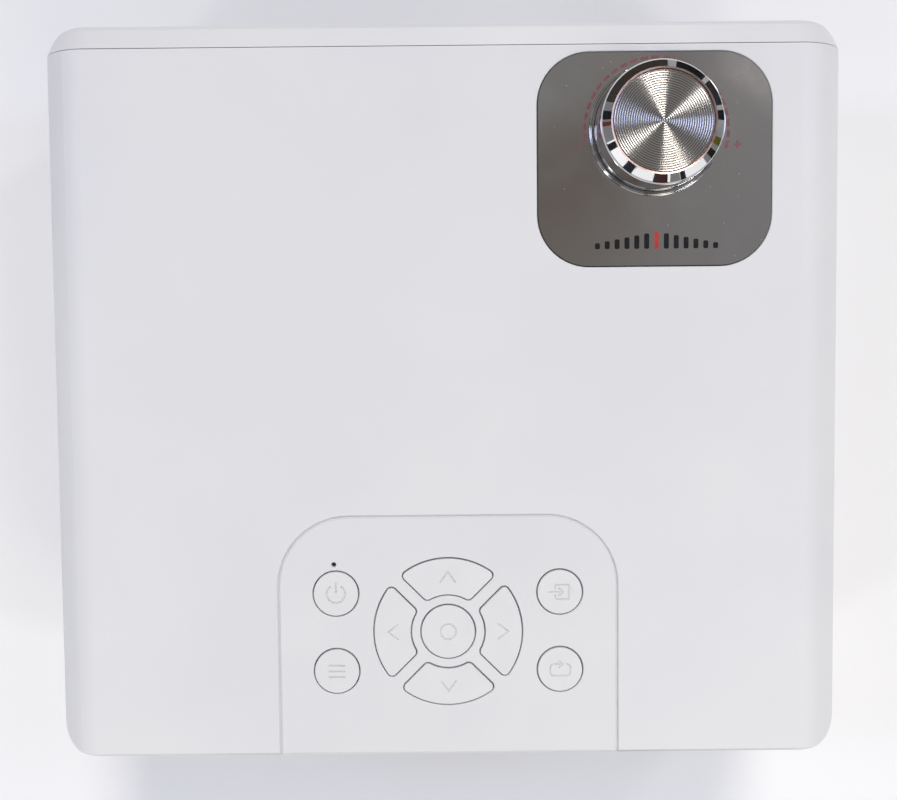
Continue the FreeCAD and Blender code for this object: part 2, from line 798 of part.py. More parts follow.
def key_block(name, grow, z0, z1):
    """A key's outline grown all round, between two heights."""
    if name in arrow_keys:
        return arrow_block(arrow_keys[name], grow, z0, z1)
    radius = ok_key_radius if name == "ok" else side_key_radius
    return rod("Z", radius + grow, key_place(name), z0, z1)


def key_place(name):
    """Where a key's stem stands over its switch."""
    if name == "ok":
        return (0.0, pad_y)
    if name in side_keys:
        side, row = side_keys[name]
        return (side * side_key_x, pad_y + row * side_key_y)
    middle = (pad_outer_radius + pad_inner_radius) / 2
    angle = math.radians(arrow_keys[name])
    return (middle * math.cos(angle), pad_y + middle * math.sin(angle))


def make_key(name):
    """Cap with its flange and stem, and the switch plunger that it presses."""
    cap = key_block(name, 0, key_flange_bottom, key_top)
    cap = cap.makeFillet(key_fillet, flat_edges(cap, key_top))
    flange = key_block(name, key_flange, key_flange_bottom, key_flange_top)
    stem = rod("Z", key_stem_radius, key_place(name), stem_bottom, key_flange_bottom + 0.2)
    plunger = rod("Z", plunger_radius, key_place(name), switch_top - plunger_depth, stem_bottom)
    return [fuse(cap, flange, stem), plunger]


def make_keypad_panel():
    form = shell_form()
    sheet = form.common(soft_prism(keypad_outline, -panel_gap, panel_under, case_top, -edge_soften))
    skirt = box(-keypad_half_width + panel_gap, keypad_half_width - panel_gap, rear_y - skirt_thickness,
                rear_y,
                case_top - skirt_drop, case_top - edge_soften)
    bosses = [rod("Z", panel_boss_radius, place, key_board_top,
                  panel_under + weld) for place in panel_bosses]
    panel = join(sheet, skirt.common(form), *bosses)
    return cut(panel,
               *[key_block(name, key_gap, panel_under - PAST, case_top + PAST) for name in key_names],
               *[rod("Z", small_screw_radius + pilot_gap, place, key_board_top - PAST, panel_under - 1)
                 for place in panel_bosses],
               rod("Z", indicator_radius, indicator_place(), panel_under - PAST, case_top + PAST))


def indicator_place():
    return (side_key_x + 0.5, pad_y - 18.85)


def make_keypad_board():
    half = side_key_x + side_key_radius + 1.1
    board = box(-half, half, pad_y - 20.4, pad_y + 21.6, key_board_bottom, key_board_top)
    board = cut(board, *[rod("Z", small_screw_radius + screw_clearance, place, key_board_bottom - PAST,
                             key_board_top + PAST)
                         for place in panel_bosses])
    indicator = rod("Z", 1.0, indicator_place(), key_board_top, panel_under - 0.4)
    return [board, indicator]


def make_tact_switches():
    switches = []
    for name in key_names:
        x, y = key_place(name)
        half = switch_size / 2
        body = box(x - half, x + half, y - half, y + half, key_board_top, switch_top)
        switches.append(body.cut(rod("Z", plunger_radius + plunger_fit, (x, y), key_board_top + 1,
                                     switch_top + PAST)))
    return switches


# ---------------------------------------------------------------- focus drive
def polar(radius, angle):
    return Vector(radius * math.cos(angle), radius * math.sin(angle), 0)


def flank_angle(radius):
    """Half the angle that a pinion tooth takes up at a radius on its involute flank."""
    base = pitch_radius * math.cos(pressure_angle)
    roll = math.sqrt(max((radius / base) ** 2 - 1, 0))
    half_tooth = (gear_pitch / 2 - backlash) / 2 / pitch_radius
    return half_tooth + math.tan(pressure_angle) - pressure_angle - (roll - math.atan(roll))


def spline(points):
    curve = Part.BSplineCurve()
    curve.interpolate(points)
    return curve.toShape()


def make_pinion():
    base = pitch_radius * math.cos(pressure_angle)
    tip = pitch_radius + 0.9 * gear_module
    root = pitch_radius - 0.9 * gear_module
    steps = 4
    radii = [base + (tip - base) * step / steps for step in range(steps + 1)]
    step_angle = 2 * math.pi / pinion_teeth
    edges = []
    for tooth in range(pinion_teeth):
        middle = tooth * step_angle
        rising = [polar(radius, middle - flank_angle(radius)) for radius in radii]
        falling = [polar(radius, middle + flank_angle(radius)) for radius in reversed(radii)]
        foot = flank_angle(base)
        edges.append(line(polar(root, middle - foot), rising[0]))
        edges.append(spline(rising))
        edges.append(arc(rising[-1], polar(tip, middle), falling[0]))
        edges.append(spline(falling))
        edges.append(line(falling[-1], polar(root, middle + foot)))
        edges.append(arc(polar(root, middle + foot), polar(root, middle + step_angle / 2),
                         polar(root, middle + step_angle - foot)))
    gear = prism(Part.Wire(edges), pinion_bottom, pinion_top)
    gear.translate(Vector(knob_x, knob_y, 0))
    return gear.cut(rod("Z", shaft_tail_radius, knob, pinion_bottom - PAST, pinion_top + PAST))


def make_rack():
    """Straight rack beside the pinion, its gaps centred on the knob's axis."""
    pitch_line = knob_x + pitch_radius
    addendum = 0.65 * gear_module
    dedendum = 0.9 * gear_module + 0.15
    half_tooth = (gear_pitch / 2 - backlash) / 2
    slope = math.tan(pressure_angle)
    back = pitch_line + dedendum
    bar = box(back, back + 5, knob_y - rack_half_length, knob_y + rack_half_length, rack_bottom, rack_top)
    count = int((rack_half_length - gear_pitch / 2) / gear_pitch)
    teeth = []
    for index in range(-count, count):
        y = knob_y + (index + 0.5) * gear_pitch
        tip_half = half_tooth - addendum * slope
        root_half = half_tooth + dedendum * slope
        teeth.append(prism(rounded_outline([
            (pitch_line - addendum, y - tip_half, 0), (back + 0.2, y - root_half, 0),
            (back + 0.2, y + root_half, 0), (pitch_line - addendum, y + tip_half, 0)]), rack_bottom,
            rack_top))
    return fuse(bar, *teeth)


def shaft_blank(grow):
    """Upper shaft with its flat, grown all round."""
    blank = rod("Z", shaft_radius + grow, knob, pinion_top, knob_top - 4.2 + grow)
    flat = box(knob_x + shaft_radius - shaft_flat + grow, knob_x + 2 * shaft_radius,
               knob_y - shaft_radius * 2,
               knob_y + shaft_radius * 2, knob_bottom + 0.8, knob_top)
    return blank.cut(flat)


def make_knob_shaft():
    tail = rod("Z", shaft_tail_radius, knob, shaft_bottom, pinion_top + 0.5)
    groove = tube("Z", shaft_tail_radius + 1, shaft_tail_radius - 0.6, knob, pinion_bottom - clip_thickness,
                  pinion_bottom)
    return fuse(shaft_blank(0), tail).cut(groove)


def make_shaft_clip():
    """Retaining clip: a thin ring with one open side."""
    inner = shaft_tail_radius - 0.6
    ring = tube("Z", shaft_tail_radius + 0.9, inner, knob, pinion_bottom - clip_thickness, pinion_bottom)
    return ring.cut(box(knob_x - inner * 0.8, knob_x + inner * 0.8, knob_y, knob_y + 3 * shaft_tail_radius,
                        pinion_bottom - 2, pinion_bottom + 2))


def make_knob_bush():
    flange = tube("Z", bush_flange_radius, shaft_radius + bearing_fit, knob, bush_bottom, boss_bottom)
    sleeve = tube("Z", bush_radius, shaft_radius + bearing_fit, knob, boss_bottom, case_top - plate_recess)
    return fuse(flange, sleeve)


def make_focus_knob():
    shoulder = knob_top - knob_bevel
    pocket = knob_top - disc_below_crown - disc_thickness
    web = pocket - 1.4
    body = revolved([
        (0, knob_bottom + 0.5), (hub_radius, knob_bottom + 0.5), (hub_radius, web),
        (knob_rim_radius - knob_wall, web), (knob_base_radius - knob_wall, knob_bottom),
        (knob_base_radius, knob_bottom), (knob_rim_radius, shoulder), (knob_crown_radius, knob_top),
        (disc_radius + disc_groove, knob_top), (disc_radius + disc_groove, pocket), (0, pocket)], knob)
    return body.cut(shaft_blank(0.02))


def make_knob_disc():
    top = knob_top - disc_below_crown
    return revolved([(0, top - disc_thickness), (disc_radius, top - disc_thickness),
                     (disc_radius, top - 0.15),
                     (disc_radius - 0.15, top), (0, top)], knob)


def make_seat_ring():
    top = plate_top + seat_ring_height
    inner = knob_base_radius + running_gap
    return revolved([(inner, plate_top), (seat_ring_radius, plate_top), (seat_ring_radius, top - 0.35),
                     (seat_ring_radius - 0.35, top), (inner, top)], knob)


def make_focus_plate():
    plate = soft_prism(plate_outline, 0, case_top - plate_recess, plate_top, -0.15)
    return plate.cut(rod("Z", shaft_radius + 0.5, knob, case_top - 2 * plate_recess, plate_top + PAST))


# ---------------------------------------------------------------- lens

def bulged_lens(y0, y1, front_bulge, rear_bulge):
    """Glass disc with a flat rim and a crowned middle on each face."""
    crown = barrel_bore - shoulder_width - 0.2
    disc = rod("Y", barrel_bore - glass_fit, lens_axis, y0, y1)
    pieces = [disc]
    for face, bulge, way in ((y0, front_bulge, 1), (y1, rear_bulge, -1)):
        radius = (crown ** 2 + bulge ** 2) / (2 * bulge)
        ball = Part.makeSphere(radius, at("Y", lens_axis, face + way * (radius - bulge)))
        start, end = sorted((face - way * (bulge + PAST), face + way * 0.2))
        pieces.append(ball.common(rod("Y", crown, lens_axis, start, end)))
    return fuse(*pieces)


def shoulder_of(name):
    """Front and rear of the step in the barrel's bore that a lens rests on."""
    offset, rim, _, _ = lens_elements[name]
    if name == "rear_lens":
        return barrel_front + offset - shoulder_thickness, barrel_front + offset
    return barrel_front + offset + rim, barrel_front + offset + rim + shoulder_thickness


def make_lens_barrel():
    barrel = rod("Y", barrel_radius, lens_axis, barrel_front, barrel_rear)
    pad_left = knob_x + pitch_radius + 0.3
    pad = box(pad_left, pad_left + 6, knob_y - rack_half_length, knob_y + rack_half_length,
              lens_z + barrel_bore, rack_bottom)
    shoulders = [tube("Y", barrel_bore + 0.5, barrel_bore - shoulder_width, lens_axis, *shoulder_of(name))
                 for name in lens_elements]
    mouth = cone("Y", barrel_bore + 1.6, barrel_bore, lens_axis, barrel_front - 0.01, barrel_front + 2)
    step = engine_front - focus_travel - 0.5
    bored = cut(fuse(barrel, pad),
                rod("Y", barrel_bore, lens_axis, barrel_front - PAST, barrel_rear + PAST), mouth,
                tube("Y", barrel_radius + PAST, barrel_tail_radius, lens_axis, step, barrel_rear + 2 * PAST))
    return fuse(bored, *shoulders)


def make_lenses():
    lenses = {}
    for name, (offset, rim, front_bulge, rear_bulge) in lens_elements.items():
        start = barrel_front + offset
        lenses[name] = bulged_lens(start, start + rim, front_bulge, rear_bulge)
    return lenses


def make_lens_rings():
    """Threaded retaining rings, one against each lens on the side away from its shoulder."""
    rings = []
    for name, (offset, rim, _, _) in lens_elements.items():
        start = barrel_front + offset
        ring_start = start + rim if name == "rear_lens" else start - shoulder_thickness
        rings.append(tube("Y", barrel_bore - glass_fit, barrel_bore - shoulder_width, lens_axis,
                          ring_start, ring_start + shoulder_thickness))
    return rings


def guide_screw_places():
    return [(lens_x + x * (guide_flange_half - 5), lens_z + z * (engine_height / 2 - 3))
            for x in (-1, 1) for z in (-1, 1)]


def make_lens_guide():
    start = front_y + guide_from_front
    flange = box(lens_x - guide_flange_half, lens_x + guide_flange_half, engine_front - guide_flange,
                 engine_front,
                 lens_z - guide_flange_rise, lens_z + guide_flange_rise)
    guide = fuse(rod("Y", guide_outer, lens_axis, start, engine_front), flange)
    pad_right = knob_x + pitch_radius + 6.3
    window_rear = knob_y + rack_half_length + focus_travel + 0.9
    return cut(guide,
               rod("Y", guide_radius, lens_axis, start - PAST, engine_front + PAST),
               box(knob_x - 2 * pitch_radius, pad_right + 1.5, start - PAST, window_rear,
                   lens_z + barrel_radius * 0.6, rack_top + 2 * PAST),
               *[rod("Y", small_screw_radius + screw_clearance, place, engine_front - guide_flange - PAST,
                     engine_front + PAST) for place in guide_screw_places()])


# ---------------------------------------------------------------- optical engine
def sheet_place(name):
    from_right, thickness = optics[name]
    left = engine_right - from_right
    return left, left + thickness


def mirror_block(grow):
    """Mirror at 45 degrees across the lens axis, grown all round."""
    half = mirror_length / 2 + grow
    block = box(-half, half, -grow, mirror_thickness + grow, lens_z - mirror_height / 2 - grow,
                lens_z + mirror_height / 2 + grow)
    return turned(block, "Z", 45, (lens_x, engine_middle, 0))


def make_optical_box():
    t = engine_wall
    outer = box(engine_left, engine_right, engine_front, engine_rear, engine_bottom, engine_top)
    inner = box(engine_left + t, engine_right - t, engine_front + t, engine_rear - t, engine_floor,
                engine_top + PAST)
    pieces = [outer.cut(inner)]
    for name in optics:
        left, right = sheet_place(name)
        for rib_left in (left - optic_gap - rib_thickness, right + optic_gap):
            for y0, y1 in ((engine_front + t - 0.5, engine_front + t + rib_depth),
                           (engine_rear - t - rib_depth, engine_rear - t + 0.5)):
                pieces.append(box(rib_left, rib_left + rib_thickness, y0, y1, engine_floor - weld,
                                  engine_top))
    bulkhead = box(bulkhead_left, bulkhead_right, engine_front + t - 0.5, engine_rear - t + 0.5,
                   engine_floor - 0.5,
                   engine_top)
    cradle = tube("X", condenser_radius + 2, condenser_radius + optic_gap, light_axis, bulkhead_right - 0.5,
                  bulkhead_right + 3)
    pieces += [bulkhead, cradle]
    reach = mirror_length / 2 / math.sqrt(2)
    for way in (-1, 1):
        x = lens_x + way * reach
        y = engine_middle + way * reach
        post = box(x - 4, x + 4, y - 4, y + 4, engine_floor - 0.5, engine_top)
        pieces.append(post.common(box(engine_left, engine_right, engine_front, engine_rear, 0, case_top)))
    for x, y in ear_places:
        toward = 1 if y < engine_middle else -1
        y0, y1 = sorted((y, y + toward * (ear_radius + t / 2)))
        pieces.append(rod("Z", ear_radius, (x, y), engine_bottom, engine_bottom + ear_height))
        pieces.append(box(x - ear_radius, x + ear_radius, y0, y1, engine_bottom, engine_bottom + ear_height))
    fan_middle = (panel_fan_x(), lens_z)
    return cut(fuse(*pieces),
               rod("Y", barrel_tail_radius + 0.8, lens_axis, engine_front - PAST, engine_front + t + PAST),
               mirror_block(optic_gap),
               rod("X", condenser_radius - 3, light_axis, bulkhead_left - PAST, bulkhead_right + PAST / 2),
               rod("X", light_hole_radius, light_axis, engine_right - t - PAST, engine_right + PAST),
               rod("Y", panel_fan_size / 2 - 3, fan_middle, engine_rear - t - PAST / 2, engine_rear + PAST),
               *[rod("Z", small_screw_radius + screw_clearance, place, engine_bottom - PAST,
                     engine_bottom + ear_height + PAST)
                 for place in ear_places],
               *[rod("Y", small_screw_radius + pilot_gap, place, engine_front - PAST,
                     engine_front + t + PAST)
                 for place in guide_screw_places()])


def make_optical_lid():
    plate = box(engine_left, engine_right, engine_front, engine_rear, engine_top, engine_top + lid_thickness)
    clips = []
    for x in (engine_left + 25, engine_right - 25):
        clips.append(box(x - 5, x + 5, engine_rear + optic_gap, engine_rear + optic_gap + 1.2,
                         engine_top - 8,
                         engine_top + lid_thickness))
        clips.append(box(x - 5, x + 5, engine_rear - 1, engine_rear + optic_gap + 1.2, engine_top,
                         engine_top + lid_thickness))
    return fuse(plate, *clips)


def make_sheet(name):
    left, right = sheet_place(name)
    return box(left, right, engine_front + engine_wall + sheet_side_gap,
               engine_rear - engine_wall - sheet_side_gap,
               engine_floor, engine_top - sheet_height_gap)


def make_condenser():
    start = bulkhead_right
    rim = 2.5
    bulge = 6.5
    crown = condenser_radius - 1
    radius = (crown ** 2 + bulge ** 2) / (2 * bulge)
    ball = Part.makeSphere(radius, at("X", light_axis, start + rim + bulge - radius))
    dome = ball.common(rod("X", crown, light_axis, start + rim - 0.2, start + rim + bulge + PAST))
    return fuse(rod("X", condenser_radius, light_axis, start, start + rim), dome)


def make_led_module():
    half = led_board_size / 2
    board = box(engine_right, led_board_right, engine_middle - half, engine_middle + half, lens_z - half,
                lens_z + half)
    emitter = rod("X", 10.0, light_axis, engine_right - 1.4, engine_right)
    return [board, emitter]


def make_heatsink():
    base = box(led_board_right, led_board_right + sink_base, engine_middle - sink_half_width,
               engine_middle + sink_half_width, lens_z - sink_half_height, lens_z + sink_half_height)
    count = int((2 * sink_half_width - fin_thickness) / fin_pitch)
    fins = []
    for index in range(count + 1):
        y = engine_middle + (index - count / 2) * fin_pitch
        fins.append(box(led_board_right + sink_base - 0.5, fan_left - 0.1, y - fin_thickness / 2,
                        y + fin_thickness / 2, lens_z - sink_half_height, lens_z + sink_half_height))
    return fuse(base, *fins)


def panel_fan_x():
    """Middle of the fan that blows across the sheets of the optical engine."""
    return (sheet_place("field_fresnel")[0] + sheet_place("heat_glass")[1]) / 2 - 3.8


def fan_hub_radius(size):
    return 0.27 * size


def fan_frame(size):
    """Square fan frame about the Z axis, its motor plate at z = 0."""
    half = size / 2
    bore = half - fan_rim
    frame = prism(rounded_rect(-half, half, -half, half, fan_corner_radius), 0, fan_thickness)
    frame = cut(frame, rod("Z", bore, (0, 0), -PAST, fan_thickness + PAST),
                *[rod("Z", 1.6, (x * (half - fan_screw_inset), y * (half - fan_screw_inset)), -PAST,
                      fan_thickness + PAST) for x in (-1, 1) for y in (-1, 1)])
    strut = box(-bore - 0.5, bore + 0.5, -1.2, 1.2, 0, fan_plate)
    struts = [turned(strut, "Z", angle, (0, 0, 0)) for angle in (20, 110)]
    plate = rod("Z", fan_hub_radius(size), (0, 0), 0, fan_plate)
    pin = rod("Z", fan_pin_radius, (0, 0), 0, fan_thickness - 1.9)
    return fuse(frame, plate, pin, *struts)


def fan_rotor(size):
    hub_radius_here = fan_hub_radius(size)
    low = fan_plate + 0.4
    high = fan_thickness - 1
    hub = rod("Z", hub_radius_here, (0, 0), low, high)
    hub = hub.cut(rod("Z", fan_pin_radius + bearing_fit, (0, 0), low - PAST, high - 0.6))
    tip = size / 2 - fan_rim - fan_tip_gap
    sweep = tube("Z", tip, hub_radius_here - 0.5, (0, 0), low + 0.6, high)
    chord = 0.24 * size
    blades = []
    for index in range(fan_blades):
        blade = box(hub_radius_here - 2, tip + 2, -chord, chord, -0.5, 0.5)
        blade = turned(blade, "X", 35, (0, 0, (low + high) / 2))
        blades.append(turned(blade.common(sweep), "Z", index * 360 / fan_blades, (0, 0, 0)))
    return fuse(hub, *blades)


def make_fans():
    """Frames and rotors of the exhaust fan, at the right, and of the panel fan, behind the engine."""
    exhaust = ("Y", -90, (fan_right, engine_middle, lens_z))
    panel = ("X", 90, (panel_fan_x(), engine_rear + fan_thickness, lens_z))
    frames = [turned(fan_frame(exhaust_fan_size), *exhaust), turned(fan_frame(panel_fan_size), *panel)]
    return frames, turned(fan_rotor(exhaust_fan_size), *exhaust), turned(fan_rotor(panel_fan_size), *panel)


# ---------------------------------------------------------------- electronics
def make_main_board():
    board = box(main_board_left, main_board_right, main_board_front, main_board_rear, main_board_bottom,
                main_board_top)
    board = cut(board, *[rod("Z", small_screw_radius + screw_clearance, place, main_board_bottom - PAST,
                             main_board_top + PAST) for place in main_standoffs])
    middle = main_board_front + 10
    length, width, height = board_cooler_size
    cooler_right = board_cooler_left + length
    cooler = box(board_cooler_left, cooler_right, middle - width / 2, middle + width / 2, main_board_top,
                 main_board_top + board_cooler_base)
    fins = [box(board_cooler_left + start, board_cooler_left + start + fin_thickness, middle - width / 2,
                middle + width / 2, main_board_top + board_cooler_base - weld, main_board_top + height)
            for start in [fin_pitch * index for index in range(int(length // fin_pitch) + 1)]]
    long, wide, high = memory_size
    memory = [box(x, x + long, middle - wide / 2, middle + wide / 2, main_board_top, main_board_top + high)
              for x in (-15, -3)]
    socket = box(20, 34, middle - 3, middle + 3, main_board_top, main_board_top + 6)
    return [board, fuse(cooler, *fins), socket, *memory]


def socket_shell(x, size, tongue):
    """Metal socket on the main board with its open mouth to the rear and a contact tongue inside."""
    width, height, depth = size
    shell = box(x - width / 2, x + width / 2, port_face - depth, port_face, main_board_top,
                main_board_top + height)
    cavity = box(x - width / 2 + port_shell, x + width / 2 - port_shell, port_face - depth + 2,
                 port_face + PAST,
                 main_board_top + port_shell, main_board_top + height - port_shell)
    low = main_board_top + height / 2 - tongue / 2
    blade = box(x - width / 2 + 2, x + width / 2 - 2, port_face - depth + 1.5, port_face - 2, low,
                low + tongue)
    return fuse(shell.cut(cavity), blade)


def make_signal_ports():
    shells = [socket_shell(x, hdmi_size, hdmi_tongue) for x in hdmi_places]
    return shells + [socket_shell(x, usb_size, usb_tongue) for x in usb_places]


def make_audio_jacks():
    jacks = []
    width, height, depth = jack_body
    for x in jack_places:
        place = (x, main_board_top + height / 2)
        body = box(x - width / 2, x + width / 2, port_panel_inner - depth, port_panel_inner - 0.1,
                   main_board_top,
                   main_board_top + height)
        barrel = rod("Y", jack_barrel_radius, place, port_panel_inner - 0.5, port_face)
        jacks.append(fuse(body, barrel).cut(rod("Y", jack_bore, place, port_face - 14, port_face + PAST)))
    return jacks


def make_power_inlet():
    width, height, depth = inlet_size
    body = box(inlet_x - width / 2, inlet_x + width / 2, port_face - depth, port_face, inlet_z - height / 2,
               inlet_z + height / 2)
    wide, high, deep = inlet_cavity
    mouth = rounded_rect(inlet_x - wide / 2, inlet_x + wide / 2, inlet_z - high / 2, inlet_z + high / 2,
                         high / 2 - 0.001)
    body = body.cut(upright_prism(mouth, port_face - deep, port_face + PAST))
    pins = [rod("Y", inlet_pin_radius, (inlet_x + side * inlet_pin_spacing / 2, inlet_z),
                port_face - deep - 1,
                port_face - deep + inlet_pin_length) for side in (-1, 1)]
    return fuse(body, *pins)


def make_power_supply():
    board = box(supply_left, supply_right, supply_front, supply_rear, supply_bottom, supply_top)
    board = cut(board, *[rod("Z", small_screw_radius + screw_clearance, place, supply_bottom - PAST,
                             supply_top + PAST)
                         for place in supply_standoffs])
    middle = (supply_front + supply_rear) / 2
    length, width, height = transformer_size
    left = supply_left + transformer_from_left
    transformer = box(left, left + length, middle - width / 2, middle + width / 2, supply_top,
                      supply_top + height)
    radius, height = main_capacitor_size
    main_capacitor = rod("Z", radius, (supply_right - 13, middle - 4), supply_top, supply_top + height)
    radius, height = low_capacitor_size
    low_capacitors = [rod("Z", radius, (supply_left + 14, middle + offset), supply_top, supply_top + height)
                      for offset in (-6, 4)]
    thickness, width, height = supply_cooler_size
    left += length + 1
    cooler = box(left, left + thickness, middle - width / 2, middle + width / 2, supply_top,
                 supply_top + height)
    width, depth, height = lead_block_size
    lead_block = box(lead_x - width / 2, lead_x + width / 2, supply_rear - depth, supply_rear, supply_top,
                     supply_top + height)
    return [board, transformer, main_capacitor, *low_capacitors, cooler, lead_block]


def make_speakers():
    """Round loudspeakers that face out through the side slots."""
    rim = speaker_radius
    profile = [(0, -speaker_depth), (11, -speaker_depth), (11, -9), (rim - 4, -1.7), (rim, -1.7), (rim, 0),
               (rim - 2.5, 0), (6, -5), (0, -4)]
    body = revolved(profile)
    y, z = speaker_place
    return [turned(body, "Y", side * 90, (side * (inner_side - 0.1), y, z)) for side in (-1, 1)]


def routed_tube(points, radius):
    """Tube along straight runs joined by tangent arcs; prints each arc's radius."""
    points = [Vector(*point) for point in points]
    edges = []
    start = points[0]
    radii = []
    for before, here, after in zip(points, points[1:], points[2:]):
        back = (before - here)
        ahead = (after - here)
        half = back.getAngle(ahead) / 2
        reach = 0.45 * min(back.Length, ahead.Length)
        back.normalize()
        ahead.normalize()
        bend = reach * math.tan(half)
        radii.append(bend)
        inward = (back + ahead).normalize()
        middle = here + inward * (bend / math.sin(half) - bend)
        edges.append(line(start, here + back * reach))
        edges.append(arc(here + back * reach, middle, here + ahead * reach))
        start = here + ahead * reach
    edges.append(line(start, points[-1]))
    path = Part.Wire(edges)
    print("lead bends", [round(bend, 1) for bend in radii], "length", round(path.Length, 1))
    direction = points[1] - points[0]
    profile = Part.Wire([Part.makeCircle(radius, points[0], direction)])
    return path.makePipeShell([profile], True, False)


def make_wiring():
    """Mains lead from the inlet to the power supply, and the keypad's flat cable."""
    run_z = floor_z + 2.6
    inlet_back = port_face - inlet_size[2]
    mains = routed_tube([
        (inlet_x, inlet_back, inlet_z), (inlet_x, inlet_back - 12, inlet_z),
        (inlet_x + 1, inlet_back - 22, inlet_z - 9), (inlet_x + 3, inlet_back - 28, run_z + 3),
        (lead_x - 1, inlet_back - 42, run_z), (lead_x, engine_rear - 30, run_z),
        (lead_x + 0.6, engine_middle, run_z), (lead_x, engine_front + 22, run_z),
        (lead_x - 0.4, supply_rear + 18, run_z + 0.6), (lead_x, supply_rear + 10, supply_top + 3.2),
        (lead_x, supply_rear, supply_top + 3.2)], lead_radius)
    socket_y = main_board_front + 10
    cable_top = box(ribbon_left, ribbon_right, socket_y - 0.15, socket_y + 0.15, main_board_top + 6,
                    key_board_bottom)
    return [mains, cable_top]


# ---------------------------------------------------------------- fixings and feet
def screw(place, head_z, shank_radius, head_radius, head_height, length):
    """Screw with its head below head_z + head_height and its shank upwards."""
    return fuse(rod("Z", head_radius, place, head_z, head_z + head_height),
                rod("Z", shank_radius, place, head_z + head_height - 0.2, head_z + head_height + length))


def hanging_screw(place, seat_z, length):
    """Small screw whose head rests on seat_z and whose shank points down."""
    return fuse(rod("Z", small_screw_head, place, seat_z, seat_z + small_screw_head_height),
                rod("Z", small_screw_radius, place, seat_z - length, seat_z + 0.2))


def make_case_screws():
    head_height = 2.0
    seat = case_bottom + screw_recess_depth
    length = split_z + case_screw_bite - seat
    return [screw(place, seat - head_height, case_screw_radius, case_screw_head, head_height, length)
            for place in boss_places]


def make_board_screws():
    screws = [hanging_screw(place, supply_top, 5) for place in supply_standoffs]
    screws += [hanging_screw(place, main_board_top, 6) for place in main_standoffs]
    screws += [hanging_screw(place, engine_bottom + ear_height, ear_height + 4) for place in ear_places]
    screws += [screw(place, key_board_bottom - small_screw_head_height, small_screw_radius, small_screw_head,
                     small_screw_head_height, 6.0) for place in panel_bosses]
    seat = engine_front - guide_flange
    for place in guide_screw_places():
        screws.append(fuse(rod("Y", small_screw_head, place, seat - small_screw_head_height, seat),
                           rod("Y", small_screw_radius, place, seat - 0.2, engine_front + engine_wall)))
    return screws


def make_rubber_feet():
    feet = []
    for place in foot_places:
        feet.append(revolved([(0, 0), (foot_radius - 0.8, 0), (foot_radius, 0.8),
                              (foot_radius, case_bottom + foot_recess), (0, case_bottom + foot_recess)],
                              place))
    return feet


def make_brass_inserts():
    inserts = [tube("Z", insert_radius, insert_bore, place, case_bottom, case_bottom + insert_length)
               for place in insert_places]
    nut = tube("Z", nut_radius, wheel_screw_radius + bearing_fit, wheel_place, nut_bottom, nut_top)
    return inserts + [nut]


def make_foot_wheel():
    """Knurled wheel with the levelling screw on top and a socket for the pad's stud below."""
    wheel = rod("Z", wheel_radius, wheel_place, wheel_bottom, wheel_top)
    count = 30
    notches = [rod("Z", 0.7, (wheel_place[0] + (wheel_radius + 0.2) * math.cos(2 * math.pi * index / count),
                              wheel_place[1] + (wheel_radius + 0.2) * math.sin(2 * math.pi * index / count)),
                   wheel_bottom - PAST, wheel_top + PAST) for index in range(count)]
    stem = rod("Z", wheel_screw_radius, wheel_place, wheel_top - weld, nut_top + wheel_screw_rise)
    stud_bore = rod("Z", pad_stud_radius + bearing_fit, wheel_place, wheel_bottom - PAST,
                    pad_foot_top + pad_stud_length + running_gap)
    return fuse(cut(wheel, *notches), stem).cut(stud_bore)


def make_foot_pad():
    edge = 0.8
    pad = revolved([(0, pad_foot_clear), (pad_foot_radius - edge, pad_foot_clear),
                    (pad_foot_radius, pad_foot_clear + edge), (pad_foot_radius, pad_foot_top),
                    (0, pad_foot_top)],
                   wheel_place)
    return fuse(pad, rod("Z", pad_stud_radius, wheel_place, pad_foot_top - weld,
                         pad_foot_top + pad_stud_length))


# ---------------------------------------------------------------- write every piece
def main():
    os.makedirs("parts", exist_ok=True)
    save("top_cover", make_top_cover())
    save("bottom_case", make_bottom_case())
    save("front_bezel", make_front_bezel())
    save("front_grille", make_front_grille())
    save("lens_trim_ring", make_trim_ring())
    save("ir_window", make_ir_window())
    save("rear_panel", make_rear_panel())

    save("keypad_panel", make_keypad_panel())
    save("keypad_board", *make_keypad_board())
    save("tact_switches", *make_tact_switches())
    for name in key_names:
        save("button_" + name, *make_key(name))

    save("focus_plate", make_focus_plate())
    save("knob_seat_ring", make_seat_ring())
    save("knob_bush", make_knob_bush())
    save("focus_knob", make_focus_knob())
    save("knob_disc", make_knob_disc())
    save("knob_shaft", make_knob_shaft())
    save("focus_pinion", make_pinion())
    save("shaft_clip", make_shaft_clip())

    save("lens_barrel", make_lens_barrel())
    save("focus_rack", make_rack())
    for name, lens in make_lenses().items():
        save(name, lens)
    save("lens_rings", *make_lens_rings())
    save("lens_guide", make_lens_guide())

    save("optical_box", make_optical_box())
    save("optical_lid", make_optical_lid())
    save("folding_mirror", mirror_block(0))
    for name in optics:
        save(name, make_sheet(name))
    save("condenser_lens", make_condenser())
    save("led_module", *make_led_module())
    save("heatsink", make_heatsink())
    frames, exhaust_rotor, panel_rotor = make_fans()
    save("fan_frames", *frames)
    save("exhaust_fan_rotor", exhaust_rotor)
    save("lcd_fan_rotor", panel_rotor)

    save("main_board", *make_main_board())
    save("signal_ports", *make_signal_ports())
    save("audio_jacks", *make_audio_jacks())
    save("power_inlet", make_power_inlet())
    save("power_supply", *make_power_supply())
    save("speakers", *make_speakers())
    save("wiring", *make_wiring())

    save("case_screws", *make_case_screws())
    save("board_screws", *make_board_screws())
    save("rubber_feet", *make_rubber_feet())
    save("brass_inserts", *make_brass_inserts())
    save("foot_wheel", make_foot_wheel())
    save("foot_pad", make_foot_pad())


main()
